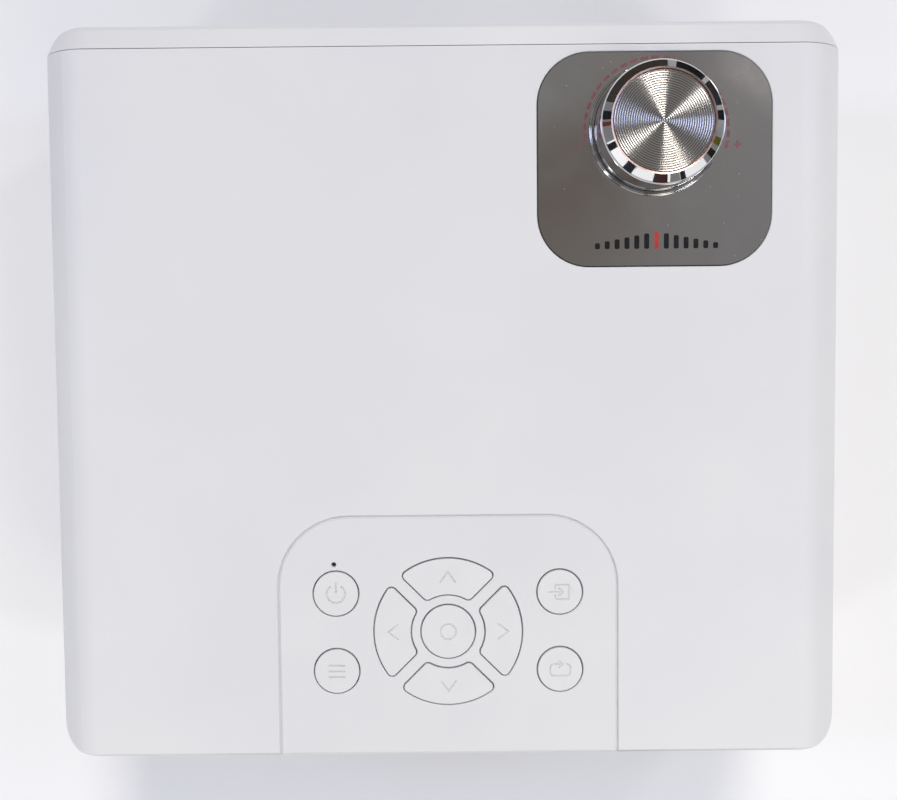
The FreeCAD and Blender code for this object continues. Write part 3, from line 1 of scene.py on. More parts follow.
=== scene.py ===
"""Looks of the home projector: finishes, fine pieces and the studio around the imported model."""

import logging
import math
from dataclasses import dataclass
from enum import Enum
from typing import Callable, Mapping, Optional, Sequence, Union

import bmesh
import bpy
from bmesh.types import BMesh, BMEdge, BMVert
from bpy.types import ID, Material, Node, NodeSocket, NodeTree, Object
from mathutils import Matrix, Vector


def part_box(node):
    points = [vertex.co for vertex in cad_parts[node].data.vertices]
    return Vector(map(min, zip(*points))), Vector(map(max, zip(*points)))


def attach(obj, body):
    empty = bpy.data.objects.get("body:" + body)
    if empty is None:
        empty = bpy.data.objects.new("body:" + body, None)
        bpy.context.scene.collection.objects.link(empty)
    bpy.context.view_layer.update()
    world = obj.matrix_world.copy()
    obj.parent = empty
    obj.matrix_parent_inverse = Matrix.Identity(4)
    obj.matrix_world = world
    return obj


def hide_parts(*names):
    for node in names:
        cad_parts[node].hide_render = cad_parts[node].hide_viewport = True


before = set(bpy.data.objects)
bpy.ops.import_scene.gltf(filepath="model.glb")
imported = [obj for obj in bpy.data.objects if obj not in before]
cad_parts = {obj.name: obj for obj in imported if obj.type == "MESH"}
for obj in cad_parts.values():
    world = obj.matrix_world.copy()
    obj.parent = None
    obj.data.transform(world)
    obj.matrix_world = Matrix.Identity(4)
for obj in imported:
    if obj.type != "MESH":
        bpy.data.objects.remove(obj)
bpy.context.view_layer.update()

LOG = logging.getLogger("projector")
MM = 0.001                     # metres in a millimetre
WAVE_PERIOD = 0.31416          # length of one ring of a wave texture at a scale of 1
MERGE = 0.002 * MM             # points nearer than this are one point
SLACK = 0.01 * MM              # a point this near to a height counts as on it
FLAT_ANGLE = math.radians(0.4)
SHARP_ANGLE = math.radians(32)
CLOUD_RANGE = (0.3, 0.7)       # the values that most of a noise texture has

Key = Union[str, int]
Colour = tuple[float, float, float, float]
Point = tuple[float, float]


def srgb(code: str) -> Colour:
    """Turn an sRGB hex colour into a linear one.

    Args:
        code: the colour, such as "#E9E8E6".

    Returns:
        Linear red, green, blue and an alpha of 1.
    """
    channels = [int(code[start:start + 2], 16) / 255 for start in (1, 3, 5)]
    linear = [c / 12.92 if c <= 0.04045 else ((c + 0.055) / 1.055) ** 2.4 for c in channels]
    return linear[0], linear[1], linear[2], 1.0


def add_node(tree: NodeTree, kind: str, settings: Optional[Mapping[Key, object]] = None,
             links: Optional[Mapping[Key, NodeSocket]] = None) -> Node:
    """Add one node to a tree.

    Args:
        tree: the tree that gets the node.
        kind: the node's type name.
        settings: input sockets (by name or number) or properties, with their values.
        links: input sockets with the output sockets that feed them.

    Returns:
        The new node.
    """
    node = tree.nodes.new(kind)
    for key, value in (settings or {}).items():
        if isinstance(key, int) or key in node.inputs:
            node.inputs[key].default_value = value
        else:
            setattr(node, key, value)
    for key, source in (links or {}).items():
        tree.links.new(source, node.inputs[key])
    return node


# ---------------------------------------------------------------- finishes

@dataclass(frozen=True)
class Finish:
    """A matt or glossy surface with soft patches of shade and a fine grain.

    The patches keep a large face from looking flat, and the grain breaks up its highlight.
    """

    name: str
    colour: str
    shade: str
    roughness: float
    spread: float = 0.05           # how far the roughness wanders
    patch_mm: float = 25.0
    grain_mm: float = 0.5
    grain_depth_mm: float = 0.01
    metallic: float = 0.0
    ior: float = 1.5
    coat: float = 0.0

    def build(self) -> Material:
        """Make the material once and return it."""
        known = bpy.data.materials.get(self.name)
        if known:
            return known
        material = bpy.data.materials.new(self.name)
        material.use_nodes = True
        tree = material.node_tree
        tree.nodes.clear()
        shader = add_node(tree, "ShaderNodeBsdfPrincipled",
                          {"Metallic": self.metallic, "IOR": self.ior, "Coat Weight": self.coat})
        place = add_node(tree, "ShaderNodeTexCoord").outputs["Object"]
        self.paint(tree, shader, place)
        add_node(tree, "ShaderNodeOutputMaterial", links={"Surface": shader.outputs["BSDF"]})
        material.diffuse_color = srgb(self.colour)
        return material

    def clouds(self, tree: NodeTree, place: NodeSocket, size_mm: float, low: float, high: float,
               detail: float = 3.0) -> NodeSocket:
        """Make a value that drifts in soft clouds.

        Args:
            tree: the material's tree.
            place: the coordinates to read.
            size_mm: the size of one cloud.
            low: the lowest value.
            high: the highest value.
            detail: how many finer layers the clouds have.

        Returns:
            The drifting value.
        """
        noise = add_node(tree, "ShaderNodeTexNoise",
                         {"Scale": 1 / (size_mm * MM), "Detail": detail}, {"Vector": place})
        start, end = CLOUD_RANGE
        return add_node(tree, "ShaderNodeMapRange",
                        {"From Min": start, "From Max": end, "To Min": low, "To Max": high},
                        {"Value": noise.outputs["Fac"]}).outputs["Result"]

    def pattern(self, tree: NodeTree, place: NodeSocket) -> NodeSocket:
        """Return where the shade shows: soft patches."""
        return self.clouds(tree, place, self.patch_mm, 0, 1)

    def tint(self, tree: NodeTree, place: NodeSocket) -> NodeSocket:
        """Return the colour, with its shade where the pattern says."""
        mix = add_node(tree, "ShaderNodeMix",
                       {"data_type": "RGBA", 6: srgb(self.colour), 7: srgb(self.shade)},
                       {0: self.pattern(tree, place)})
        return mix.outputs[2]

    def bump(self, tree: NodeTree, place: NodeSocket) -> NodeSocket:
        """Return the normal, with the surface's grain."""
        grain = add_node(tree, "ShaderNodeTexNoise",
                         {"Scale": 1 / (self.grain_mm * MM), "Detail": 2.0}, {"Vector": place})
        return add_node(tree, "ShaderNodeBump", {"Distance": self.grain_depth_mm * MM},
                        {"Height": grain.outputs["Fac"]}).outputs["Normal"]

    def paint(self, tree: NodeTree, shader: Node, place: NodeSocket) -> None:
        """Feed the shader its colour, roughness and grain."""
        wander = self.clouds(tree, place, self.patch_mm / 3,
                             self.roughness - self.spread, self.roughness + self.spread)
        tree.links.new(self.tint(tree, place), shader.inputs["Base Color"])
        tree.links.new(wander, shader.inputs["Roughness"])
        tree.links.new(self.bump(tree, place), shader.inputs["Normal"])


@dataclass(frozen=True)
class BrushedMetal(Finish):
    """Metal with fine parallel brush lines, which stretch its highlight across them."""

    metallic: float = 1.0
    stretch: tuple[float, float, float] = (1.0, 20.0, 1.0)     # how much finer the grain is

    def bump(self, tree: NodeTree, place: NodeSocket) -> NodeSocket:
        """Return the normal, with brush lines."""
        drawn = add_node(tree, "ShaderNodeMapping", {"Scale": self.stretch}, {"Vector": place})
        return super().bump(tree, drawn.outputs["Vector"])


@dataclass(frozen=True)
class SpunMetal(Finish):
    """Metal turned on a lathe: bright fans across its rings, and painted shade that darkens the rings
    at their bottoms.
    """

    metallic: float = 1.0
    centre_mm: Point = (0.0, 0.0)
    ring_mm: float = 0.612

    def pattern(self, tree: NodeTree, place: NodeSocket) -> NodeSocket:
        """Return where the painted shade shows: in rings about the axis, darkest at the bottoms of
        the disc's grooves.
        """
        rings = add_node(tree, "ShaderNodeTexWave",
                         {"wave_type": "RINGS", "rings_direction": "Z",
                          "Scale": WAVE_PERIOD / (self.ring_mm * MM)}, {"Vector": place})
        return rings.outputs["Fac"]

    def paint(self, tree: NodeTree, shader: Node, place: NodeSocket) -> None:
        """Feed the shader the colour, the rings and the direction away from the axis."""
        x, y = self.centre_mm
        centred = add_node(tree, "ShaderNodeMapping", {"Location": (-x * MM, -y * MM, 0)},
                           {"Vector": place}).outputs["Vector"]
        outward = add_node(tree, "ShaderNodeVectorMath",
                           {"operation": "MULTIPLY", 1: (1.0, 1.0, 0.0)}, {0: centred})
        unit = add_node(tree, "ShaderNodeVectorMath", {"operation": "NORMALIZE"},
                        {0: outward.outputs[0]})
        turned = add_node(tree, "ShaderNodeVectorTransform",
                          {"vector_type": "VECTOR", "convert_from": "OBJECT",
                           "convert_to": "WORLD"}, {"Vector": unit.outputs[0]})
        wander = self.clouds(tree, centred, self.patch_mm,
                             self.roughness - self.spread, self.roughness + self.spread)
        shader.inputs["Anisotropic"].default_value = 1.0
        tree.links.new(turned.outputs[0], shader.inputs["Tangent"])
        # The rings' colour is painted shade: the darker colour falls at the bottoms of the grooves.
        tree.links.new(self.tint(tree, centred), shader.inputs["Base Color"])
        tree.links.new(wander, shader.inputs["Roughness"])


@dataclass(frozen=True)
class SmokedMirror(Finish):
    """Dark mirror acrylic: a clear grey reflection under faint smears and specks of dust."""

    metallic: float = 1.0
    dust: str = "#C9C6C2"
    dust_mm: float = 2.6           # average distance between specks
    dust_roughness: float = 0.55
    speck_share: float = 0.055     # size of a speck as a share of that distance
    smear_roughness: float = 0.16

    def paint(self, tree: NodeTree, shader: Node, place: NodeSocket) -> None:
        """Feed the shader its smoky colour, the smears and the dust."""
        cells = add_node(tree, "ShaderNodeTexVoronoi", {"Scale": 1 / (self.dust_mm * MM)},
                         {"Vector": place})
        specks = add_node(tree, "ShaderNodeMapRange",
                          {"From Min": 0, "From Max": self.speck_share,
                           "To Min": self.dust_roughness, "To Max": 0},
                          {"Value": cells.outputs["Distance"]}).outputs["Result"]
        smears = self.clouds(tree, place, self.patch_mm, self.roughness, self.smear_roughness, 6)
        rough = add_node(tree, "ShaderNodeMath", {"operation": "ADD", "use_clamp": True},
                         {0: smears, 1: specks})
        dusty = add_node(tree, "ShaderNodeMix", {"data_type": "RGBA", 7: srgb(self.dust)},
                         {0: specks, 6: self.tint(tree, place)})
        tree.links.new(dusty.outputs[2], shader.inputs["Base Color"])
        tree.links.new(rough.outputs[0], shader.inputs["Roughness"])


@dataclass(frozen=True)
class ClearGlass(Finish):
    """Glass or clear acrylic. A thin film on a lens turns its reflection green and violet."""

    film_nm: float = 0.0
    film_ior: float = 1.38         # magnesium fluoride

    def paint(self, tree: NodeTree, shader: Node, place: NodeSocket) -> None:
        """Feed the shader a clean surface with a trace of haze."""
        shader.inputs["Transmission Weight"].default_value = 1.0
        if self.film_nm:
            shader.inputs["Thin Film Thickness"].default_value = self.film_nm
            shader.inputs["Thin Film IOR"].default_value = self.film_ior
        haze = self.clouds(tree, place, self.patch_mm, self.roughness,
                           self.roughness + self.spread)
        tree.links.new(haze, shader.inputs["Roughness"])
        tree.links.new(self.tint(tree, place), shader.inputs["Base Color"])


@dataclass(frozen=True)
class CircuitBoard(Finish):
    """Solder mask over copper: straight tracks show as a paler green under a satin skin."""

    track_mm: float = 3.2
    track_share: float = 0.09      # width of a track as a share of the distance between two

    def pattern(self, tree: NodeTree, place: NodeSocket) -> NodeSocket:
        """Return where the shade shows: along the tracks."""
        dark, pale = (0, 0, 0, 1), (1, 1, 1, 1)
        tracks = add_node(tree, "ShaderNodeTexBrick",
                          {"Scale": 1 / (self.track_mm * MM), "Mortar Size": self.track_share,
                           "Color1": dark, "Color2": dark, "Mortar": pale}, {"Vector": place})
        return tracks.outputs["Color"]


@dataclass(frozen=True)
class StudioFloor(Finish):
    """Pale paper sweep. From underneath it lets the view through."""

    def build(self) -> Material:
        """Make the material and hide its back."""
        material = super().build()
        tree = material.node_tree
        output = next(node for node in tree.nodes if node.bl_idname == "ShaderNodeOutputMaterial")
        paper = output.inputs["Surface"].links[0].from_socket
        back = add_node(tree, "ShaderNodeNewGeometry").outputs["Backfacing"]
        clear = add_node(tree, "ShaderNodeBsdfTransparent").outputs[0]
        both = add_node(tree, "ShaderNodeMixShader", links={0: back, 1: paper, 2: clear})
        tree.links.new(both.outputs[0], output.inputs["Surface"])
        return material


KNOB_CENTRE = (-56.8, -70.5)

# Each finish is named for the real one; the comment says what the eye gets from it.
FINISHES: dict[str, Finish] = {
    # Injection-moulded matt ABS: soft, slightly warm white with a spark-eroded grain.
    "white_shell": Finish("moulded_white_abs", "#E6E6E5", "#E1E1E2", 0.42, patch_mm=60,
                          grain_mm=0.6, grain_depth_mm=0.012),
    # The same plastic from a smoother mould: a touch more sheen on the key panel.
    "white_keypad": Finish("satin_white_abs", "#E6E6E5", "#E2E2E2", 0.38, patch_mm=40,
                           grain_mm=0.5, grain_depth_mm=0.008),
    # Key caps in polished mould inserts: fine, even, soft gloss.
    "white_keys": Finish("keycap_white_abs", "#E7E7E6", "#E4E4E3", 0.34, patch_mm=9,
                         grain_mm=0.4, grain_depth_mm=0.006),
    # Mirror acrylic over dark backing: a grey reflection with faint smears.
    "focus_plate_mirror": SmokedMirror("smoked_mirror_acrylic", "#DAD6D3", "#CCC6C2", 0.05,
                                       patch_mm=16),
    # Chromed ABS: a hard, clean reflection.
    "knob_chrome": Finish("chrome_plated_abs", "#DCDCDD", "#D0D0D2", 0.045, 0.02, 14, 1.5, 0.002,
                          metallic=1.0),
    # Lathe-turned aluminium: rings with painted shade at their bottoms, and bright fans across them.
    "spun_aluminium": SpunMetal("lathe_spun_aluminium", "#DAD7D4", "#9B9590", 0.2, 0.015, 6,
                                centre_mm=KNOB_CENTRE),
    # Satin nickel: a soft, drawn-out highlight.
    "trim_silver": BrushedMetal("satin_nickel_trim", "#C9C9C8", "#BBBBBB", 0.26, 0.05, 12, 0.5,
                                0.006, stretch=(14.0, 1.0, 14.0)),
    # Moulded black ABS, eroded finish: deep grey with a broad, dull highlight.
    "black_abs": Finish("eroded_black_abs", "#1B1B1D", "#232325", 0.48, 0.07, 18, 0.6, 0.02),
    # Painted grille: even, dull black.
    "grille_black": Finish("painted_black_grille", "#17181A", "#1E1F21", 0.52, 0.06, 22, 0.5,
                           0.012),
    # Infrared-pass acrylic: near black, with a wine-red depth and a hard gloss.
    "ir_smoke": Finish("infrared_pass_acrylic", "#22090E", "#2C0C12", 0.08, 0.03, 3, 1.5, 0.002,
                       coat=0.5),
    # Moulded port panel: a coarse grain that breaks up its sheen.
    "rear_panel_black": Finish("grained_black_abs", "#202023", "#28282B", 0.5, 0.06, 20, 0.9, 0.03),
    # Ground steel: fine parallel lines.
    "steel": BrushedMetal("ground_steel", "#B9B9BA", "#A7A7A8", 0.24, 0.06, 5, 0.3, 0.004),
    # Turned brass, slightly dulled.
    "brass": Finish("turned_brass", "#C7A35B", "#AE8A48", 0.28, 0.08, 3, 0.3, 0.004, metallic=1.0),
    # Natural acetal: milky and waxy.
    "acetal": Finish("natural_acetal", "#E7E4DA", "#DDD9CC", 0.36, 0.05, 6, 0.4, 0.004, ior=1.48),
    # Coated optical glass: green and violet reflections.
    "lens_glass": ClearGlass("coated_optical_glass", "#F2F7F4", "#EAF2F0", 0.0, 0.015, 12,
                             ior=1.52, film_nm=330),
    # Front-silvered glass: a bright, clean reflection.
    "mirror_glass": Finish("front_silvered_glass", "#E4E6E7", "#DADDDF", 0.03, 0.02, 20, 2.0,
                           0.001, metallic=1.0),
    # Pressed acrylic sheet: clear, with a slight haze.
    "acrylic": ClearGlass("pressed_clear_acrylic", "#EEF3F4", "#E6EDEF", 0.03, 0.03, 15, ior=1.49),
    # Display glass: blue-black under a hard gloss.
    "lcd": Finish("display_glass", "#12161C", "#1A2028", 0.12, 0.04, 15, 0.8, 0.002, coat=1.0),
    # Solder mask on glass-fibre board: green, with paler tracks.
    "circuit_board": CircuitBoard("green_solder_mask", "#12492F", "#2C7A4C", 0.32, 0.06, 8, 0.6,
                                  0.01),
    # Extruded aluminium: silver, with die lines.
    "aluminium": BrushedMetal("extruded_aluminium", "#C3C5C7", "#AFB1B3", 0.34, 0.06, 10, 0.4,
                              0.008),
    # Glass-filled nylon: dull, slightly cloudy black.
    "fan_black": Finish("glass_filled_nylon", "#1D1D1F", "#29292B", 0.55, 0.08, 7, 0.5, 0.015),
    # Nickel-plated stampings: warm silver.
    "port_steel": BrushedMetal("nickel_plated_steel", "#BFBDB8", "#AAA8A3", 0.25, 0.07, 4, 0.25,
                               0.003),
    # Black nylon: soft sheen.
    "switch_plastic": Finish("black_nylon", "#26262A", "#323238", 0.45, 0.06, 3, 0.3, 0.006),
    # Zinc plate: cool, blotchy silver.
    "screw_steel": Finish("zinc_plated_steel", "#B4B6BA", "#9DA0A6", 0.27, 0.08, 1.6, 0.25, 0.004,
                          metallic=1.0),
    # Moulded rubber: dusty, dull, no clear reflection.
    "foot_rubber": Finish("moulded_rubber", "#2B2B2C", "#363637", 0.78, 0.07, 5, 0.5, 0.03),
    # Moulded grey ABS: even satin.
    "wheel_plastic": Finish("moulded_grey_abs", "#3A3B3E", "#444549", 0.46, 0.06, 7, 0.5, 0.015),
    # Pressed paper: felted and dull.
    "paper_cone": Finish("pressed_paper_cone", "#1C1B1B", "#2B2A29", 0.82, 0.06, 3, 0.7, 0.05),
    # Soft PVC: pale grey with a waxy sheen.
    "lead_pvc": Finish("soft_pvc", "#B9B9B7", "#A9A9A7", 0.42, 0.06, 6, 0.6, 0.01),
}

# Thin rose-tinted lacquer on the knob's inner lip.
ROSE_LIP = Finish("rose_lacquered_lip", "#CDB4AF", "#B8A09A", 0.3, 0.05, 5, 0.6, 0.002,
                  metallic=1.0)
# The plate's cut edge: dark, with a hard gloss.
PLATE_EDGE = Finish("cut_acrylic_edge", "#2A2826", "#35322F", 0.18, 0.05, 6, 0.5, 0.003)
# Screen-printed ink on the plate: dull against the mirror around it.
RED_INK = Finish("faded_red_ink", "#8A4F58", "#7A434C", 0.5, 0.08, 2, 0.3, 0.003)
BLACK_INK = Finish("gloss_black_ink", "#131315", "#1B1B1E", 0.22, 0.06, 3, 0.3, 0.002)
SIGNAL_INK = Finish("signal_red_ink", "#C2372E", "#A92E27", 0.35, 0.06, 2, 0.3, 0.003)
PALE_INK = Finish("pale_grey_ink", "#B9BABB", "#A9AAAB", 0.5, 0.08, 3, 0.3, 0.003)
# Gold flash on contacts: small bright strips.
GOLD = Finish("gold_flashed_contact", "#D8B25C", "#C49B46", 0.22, 0.06, 1, 0.2, 0.001, metallic=1.0)
# Woven nylon: dull black, so that the grille's holes stay dark.
FILTER_WIRE = Finish("black_nylon_filter", "#101113", "#1A1B1D", 0.6, 0.06, 4, 0.4, 0.01)
# Paper sweep: an even, nearly white ground.
PAPER = StudioFloor("pale_paper_sweep", "#FBFBFB", "#F9F9F9", 0.85, 0.05, 400, 3.0, 0.02)


# ---------------------------------------------------------------- modelling helpers

class Axis(Enum):
    """A main direction of the model."""

    X = (1.0, 0.0, 0.0)
    Y = (0.0, 1.0, 0.0)
    Z = (0.0, 0.0, 1.0)

    @property
    def vector(self) -> Vector:
        """The direction as a unit vector."""
        return Vector(self.value)

    @property
    def across(self) -> Vector:
        """A unit vector at right angles to it, where a spun profile starts."""
        return Vector((0, 0, 1)) if self is Axis.X else Vector((1, 0, 0))


def mm(*values: float) -> Vector:
    """Turn millimetres into a vector in metres."""
    return Vector(values) * MM


def close_up(bm: BMesh) -> BMesh:
    """Merge doubled points and turn every face outwards."""
    bmesh.ops.remove_doubles(bm, verts=bm.verts, dist=MERGE)
    bmesh.ops.recalc_face_normals(bm, faces=bm.faces)
    return bm


def spun(profile: Sequence[Point], centre: Vector, axis: Axis, steps: int,
         closed: bool = True) -> BMesh:
    """Spin a profile about an axis.

    Args:
        profile: (radius, height along the axis) points in mm.
        centre: a point on the axis, in metres; heights count from it.
        axis: the direction of the axis.
        steps: how many segments the circle has.
        closed: joins the last point to the first. An open profile ends on the axis.

    Returns:
        The closed shape.
    """
    bm = bmesh.new()
    points = [bm.verts.new(centre + axis.across * radius * MM + axis.vector * height * MM)
              for radius, height in profile]
    pairs = list(zip(points, points[1:]))
    if closed:
        pairs.append((points[-1], points[0]))
    edges = [bm.edges.new(pair) for pair in pairs]
    bmesh.ops.spin(bm, geom=points + edges, cent=centre, axis=axis.vector, angle=math.tau,
                   steps=steps, use_merge=True)
    return close_up(bm)


def soften(bm: BMesh, width_mm: float, segments: int, wanted: Callable[[BMEdge], bool],
           least: float = 20.0) -> None:
    """Round the sharp edges of a shape.

    Args:
        bm: the shape.
        width_mm: how far the rounding reaches.
        segments: how many facets it has.
        wanted: says which edges are rounded.
        least: the smallest angle, in degrees, that counts as sharp.
    """
    edges = [edge for edge in bm.edges if edge.is_manifold
             and edge.calc_face_angle() > math.radians(least) and wanted(edge)]
    bmesh.ops.bevel(bm, geom=edges, offset=width_mm * MM, offset_type="OFFSET", affect="EDGES",
                    segments=segments, profile=0.5, material=-1)


def bar(bm: BMesh, middle: Vector, size: Vector, angle: float = 0.0,
        axis: Axis = Axis.Z) -> None:
    """Add a block.

    Args:
        bm: the shape that gets it.
        middle: its middle, in metres.
        size: its length each way, in metres.
        angle: how far it is turned about its own middle, in radians.
        axis: what it is turned about.
    """
    place = (Matrix.Translation(middle) @ Matrix.Rotation(angle, 4, axis.vector)
             @ Matrix.Diagonal((*size, 1)))
    bmesh.ops.create_cube(bm, size=1, matrix=place)


def soften_top(bm: BMesh, top_mm: float, width_mm: float, segments: int,
               least: float = 60.0) -> None:
    """Round the sharp edges around a shape's top face.

    Args:
        bm: the shape.
        top_mm: the height of the face.
        width_mm: how far the rounding reaches.
        segments: how many facets it has.
        least: the smallest angle, in degrees, that counts as sharp.
    """
    level = top_mm * MM - SLACK
    soften(bm, width_mm, segments, lambda edge: all(v.co.z > level for v in edge.verts), least)


def add_object(name: str, data: ID) -> Object:
    """Put an object that shows this data into the scene, at the origin."""
    added = bpy.data.objects.new(name, data)
    bpy.context.scene.collection.objects.link(added)
    return added


def add_shape(name: str, bm: BMesh) -> Object:
    """Turn a shape into an object. The shape is used up."""
    mesh = bpy.data.meshes.new(name)
    bm.to_mesh(mesh)
    bm.free()
    return add_object(name, mesh)


def merged_copy(node: str) -> BMesh:
    """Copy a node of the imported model, with its loose triangles joined and its flat faces whole."""
    bm = bmesh.new()
    bm.from_mesh(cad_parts[node].data)
    bmesh.ops.remove_doubles(bm, verts=bm.verts, dist=MERGE)
    bmesh.ops.dissolve_limit(bm, angle_limit=FLAT_ANGLE, verts=bm.verts, edges=bm.edges)
    return bm


@dataclass
class Piece:
    """One shown piece: what it is called, what it moves with and what it stands for."""

    name: str
    body: str
    slot: str
    finishes: Sequence[Finish] = ()
    replaces: Sequence[str] = ()

    def make(self, bm: BMesh, cutter: Optional[BMesh] = None) -> None:
        """Turn a shape into the finished piece.

        Args:
            bm: the shape. It is used up.
            cutter: a shape to cut out of it. It is used up.
        """
        piece = add_shape(self.name, bm)
        if cutter:
            tool = add_shape(self.name + "_cutter", cutter)
            cut = piece.modifiers.new("engraving", "BOOLEAN")
            cut.operation = "DIFFERENCE"
            cut.solver = "EXACT"
            cut.use_self = True
            cut.object = tool
            self.settle(piece)
            bpy.data.objects.remove(tool)
        for finish in self.finishes or (FINISHES[self.slot],):
            piece.data.materials.append(finish.build())
        self.smooth(piece)
        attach(piece, self.body)
        if self.replaces:
            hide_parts(*self.replaces)
        LOG.info("%s: %d faces, on %s", self.name, len(piece.data.polygons), self.body)

    def settle(self, piece: Object) -> None:
        """Make a piece's live modifiers part of its mesh."""
        graph = bpy.context.evaluated_depsgraph_get()
        solid = bpy.data.meshes.new_from_object(piece.evaluated_get(graph), depsgraph=graph)
        piece.modifiers.clear()
        piece.data = solid
        solid.name = self.name

    def smooth(self, piece: Object) -> None:
        """Shade round faces smooth, and keep flat faces flat up to their edges."""
        piece.data.polygons.foreach_set("use_smooth", [True] * len(piece.data.polygons))
        piece.data.set_sharp_from_angle(angle=SHARP_ANGLE)
        weighted = piece.modifiers.new("flat_faces", "WEIGHTED_NORMAL")
        weighted.keep_sharp = True
        weighted.weight = 100
        self.settle(piece)


def dress_packed_nodes() -> None:
    """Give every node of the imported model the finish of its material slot."""
    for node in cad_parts.values():
        for slot in node.material_slots:
            slot.material = FINISHES[slot.material.name].build()
    LOG.info("dressed %d packed nodes", len(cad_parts))


# ---------------------------------------------------------------- focus drive

@dataclass
class FocusDrive:
    """The chromed focus knob with its spun disc, the ring under it and the marks around it."""

    centre: Point = KNOB_CENTRE
    plate_top: float = 88.2
    base_radius: float = 16.7
    base_height: float = 88.5
    rim_radius: float = 16.15
    rim_height: float = 100.2
    crown_radius: float = 13.7
    crown_height: float = 102.4
    shoulder_radius: float = 15.75
    shoulder_height: float = 100.9
    lip_radius: float = 13.25
    lip_top: float = 102.3
    pocket_floor: float = 100.8
    wall: float = 2.0
    crown_rounding: float = 0.22
    near: float = 0.05             # how far past an edge a test for it reaches
    web_underside: float = 99.4
    hub_radius: float = 5.0
    shaft_radius: float = 3.02
    shaft_end: float = 98.3
    disc_radius: float = 12.85
    disc_top: float = 102.2
    groove_pitch: float = 0.6
    groove_depth: float = 0.07
    plate_edge: float = 0.25
    plate_level: float = 0.98      # a face whose normal is this upright is the mirror
    ring_inner: float = 17.0
    ring_outer: float = 17.7
    ring_top: float = 89.1
    ring_edge: float = 0.28
    steps: int = 192
    mark_height: float = 0.02
    scale_centre: Point = (-57.3, -70.5)
    scale_radius: float = 19.3
    dash_length: float = 2.0
    dash_width: float = 0.8
    dash_step: float = 8.6         # degrees
    scale_start: float = -12.0     # degrees, from the right over the front edge to the left
    scale_end: float = 190.0
    sign_size: float = 2.1
    sign_width: float = 0.5
    minus_place: Point = (-36.0, -66.2)
    plus_place: Point = (-79.0, -66.5)
    symbol_centre: Point = (-57.3, -41.1)
    symbol_width: float = 33.3
    symbol_height: float = 4.6
    symbol_bars: int = 13
    symbol_bar_width: float = 1.35
    symbol_rounding: float = 0.4
    symbol_least: float = 0.35     # height of the outermost bars as a share of the middle one
    accent_share: float = 0.8      # width of the middle bar as a share of the others

    def base(self) -> Vector:
        """The point of the knob's axis at height 0."""
        return mm(*self.centre, 0)

    def knob(self) -> None:
        """Make the hollow chromed knob with its bevelled crown."""
        inner = self.base_radius - self.wall
        profile = [(0, self.pocket_floor), (self.lip_radius, self.pocket_floor),
                   (self.lip_radius, self.lip_top), (self.crown_radius, self.crown_height),
                   (self.shoulder_radius, self.shoulder_height),
                   (self.rim_radius, self.rim_height), (self.base_radius, self.base_height),
                   (inner, self.base_height), (inner, self.web_underside),
                   (self.hub_radius, self.web_underside), (self.hub_radius, self.base_height),
                   (self.shaft_radius, self.base_height), (self.shaft_radius, self.shaft_end),
                   (0, self.shaft_end)]
        bm = spun(profile, self.base(), Axis.Z, self.steps, closed=False)
        low = (self.rim_height - self.near) * MM
        outside = (self.crown_radius + self.near) * MM
        soften(bm, self.crown_rounding, 3,
               lambda edge: all(v.co.z > low and (v.co - self.base()).xy.length > outside
                                for v in edge.verts), 15)
        inside = (self.crown_radius - self.near) * MM
        for face in bm.faces:
            middle = face.calc_center_median()
            in_lip = (middle - self.base()).xy.length < inside
            face.material_index = int(in_lip and middle.z > self.pocket_floor * MM - MERGE)
        Piece("knob_body", "focus_knob", "knob_chrome", (FINISHES["knob_chrome"], ROSE_LIP),
              ("focus_knob",)).make(bm)

    def disc(self) -> None:
        """Make the spun disc, with grooves four facets wide so that they shade round."""
        grooves = round(self.disc_radius / self.groove_pitch)
        bm = bmesh.new()
        inner = bm.verts.new(self.base() + mm(0, 0, self.disc_top))
        outer = bm.verts.new(self.base() + mm(self.disc_radius, 0, self.disc_top))
        edge = bm.edges.new((inner, outer))
        bmesh.ops.subdivide_edges(bm, edges=[edge], cuts=4 * grooves - 1)
        points = sorted(bm.verts, key=lambda v: v.co.x)
        bmesh.ops.translate(bm, verts=points[1::2], vec=mm(0, 0, -self.groove_depth / 2))
        bmesh.ops.translate(bm, verts=points[2::4], vec=mm(0, 0, -self.groove_depth))
        rim = bm.verts.new(self.base() + mm(self.disc_radius, 0, self.pocket_floor))
        floor = bm.verts.new(self.base() + mm(0, 0, self.pocket_floor))
        bm.edges.new((points[-1], rim))
        bm.edges.new((rim, floor))
        bmesh.ops.spin(bm, geom=list(bm.verts) + list(bm.edges), cent=self.base(),
                       axis=Axis.Z.vector, angle=math.tau, steps=self.steps, use_merge=True)
        Piece("knob_spun_disc", "focus_knob", "spun_aluminium", (),
              ("knob_disc",)).make(close_up(bm))

    def plate(self) -> None:
        """Make the mirror plate with its dark cut edge."""
        bm = merged_copy("focus_plate")
        soften_top(bm, self.plate_top, self.plate_edge, 2)
        for face in bm.faces:
            face.material_index = int(face.normal.z < self.plate_level)
        Piece("mirror_plate", "case", "focus_plate_mirror",
              (FINISHES["focus_plate_mirror"], PLATE_EDGE), ("focus_plate",)).make(bm)

    def seat_ring(self) -> None:
        """Make the thin chromed ring that the knob stands in."""
        bm = spun([(self.ring_inner, self.plate_top), (self.ring_outer, self.plate_top),
                   (self.ring_outer, self.ring_top), (self.ring_inner, self.ring_top)],
                  self.base(), Axis.Z, self.steps)
        soften_top(bm, self.ring_top, self.ring_edge, 3, 20)
        Piece("knob_base_ring", "case", "knob_chrome", (), ("knob_seat_ring",)).make(bm)

    def printed(self, name: str, finish: Finish, bm: BMesh) -> None:
        """Finish a thin printed mark on the plate."""
        Piece(name, "case", "focus_plate_mirror", (finish,)).make(bm)

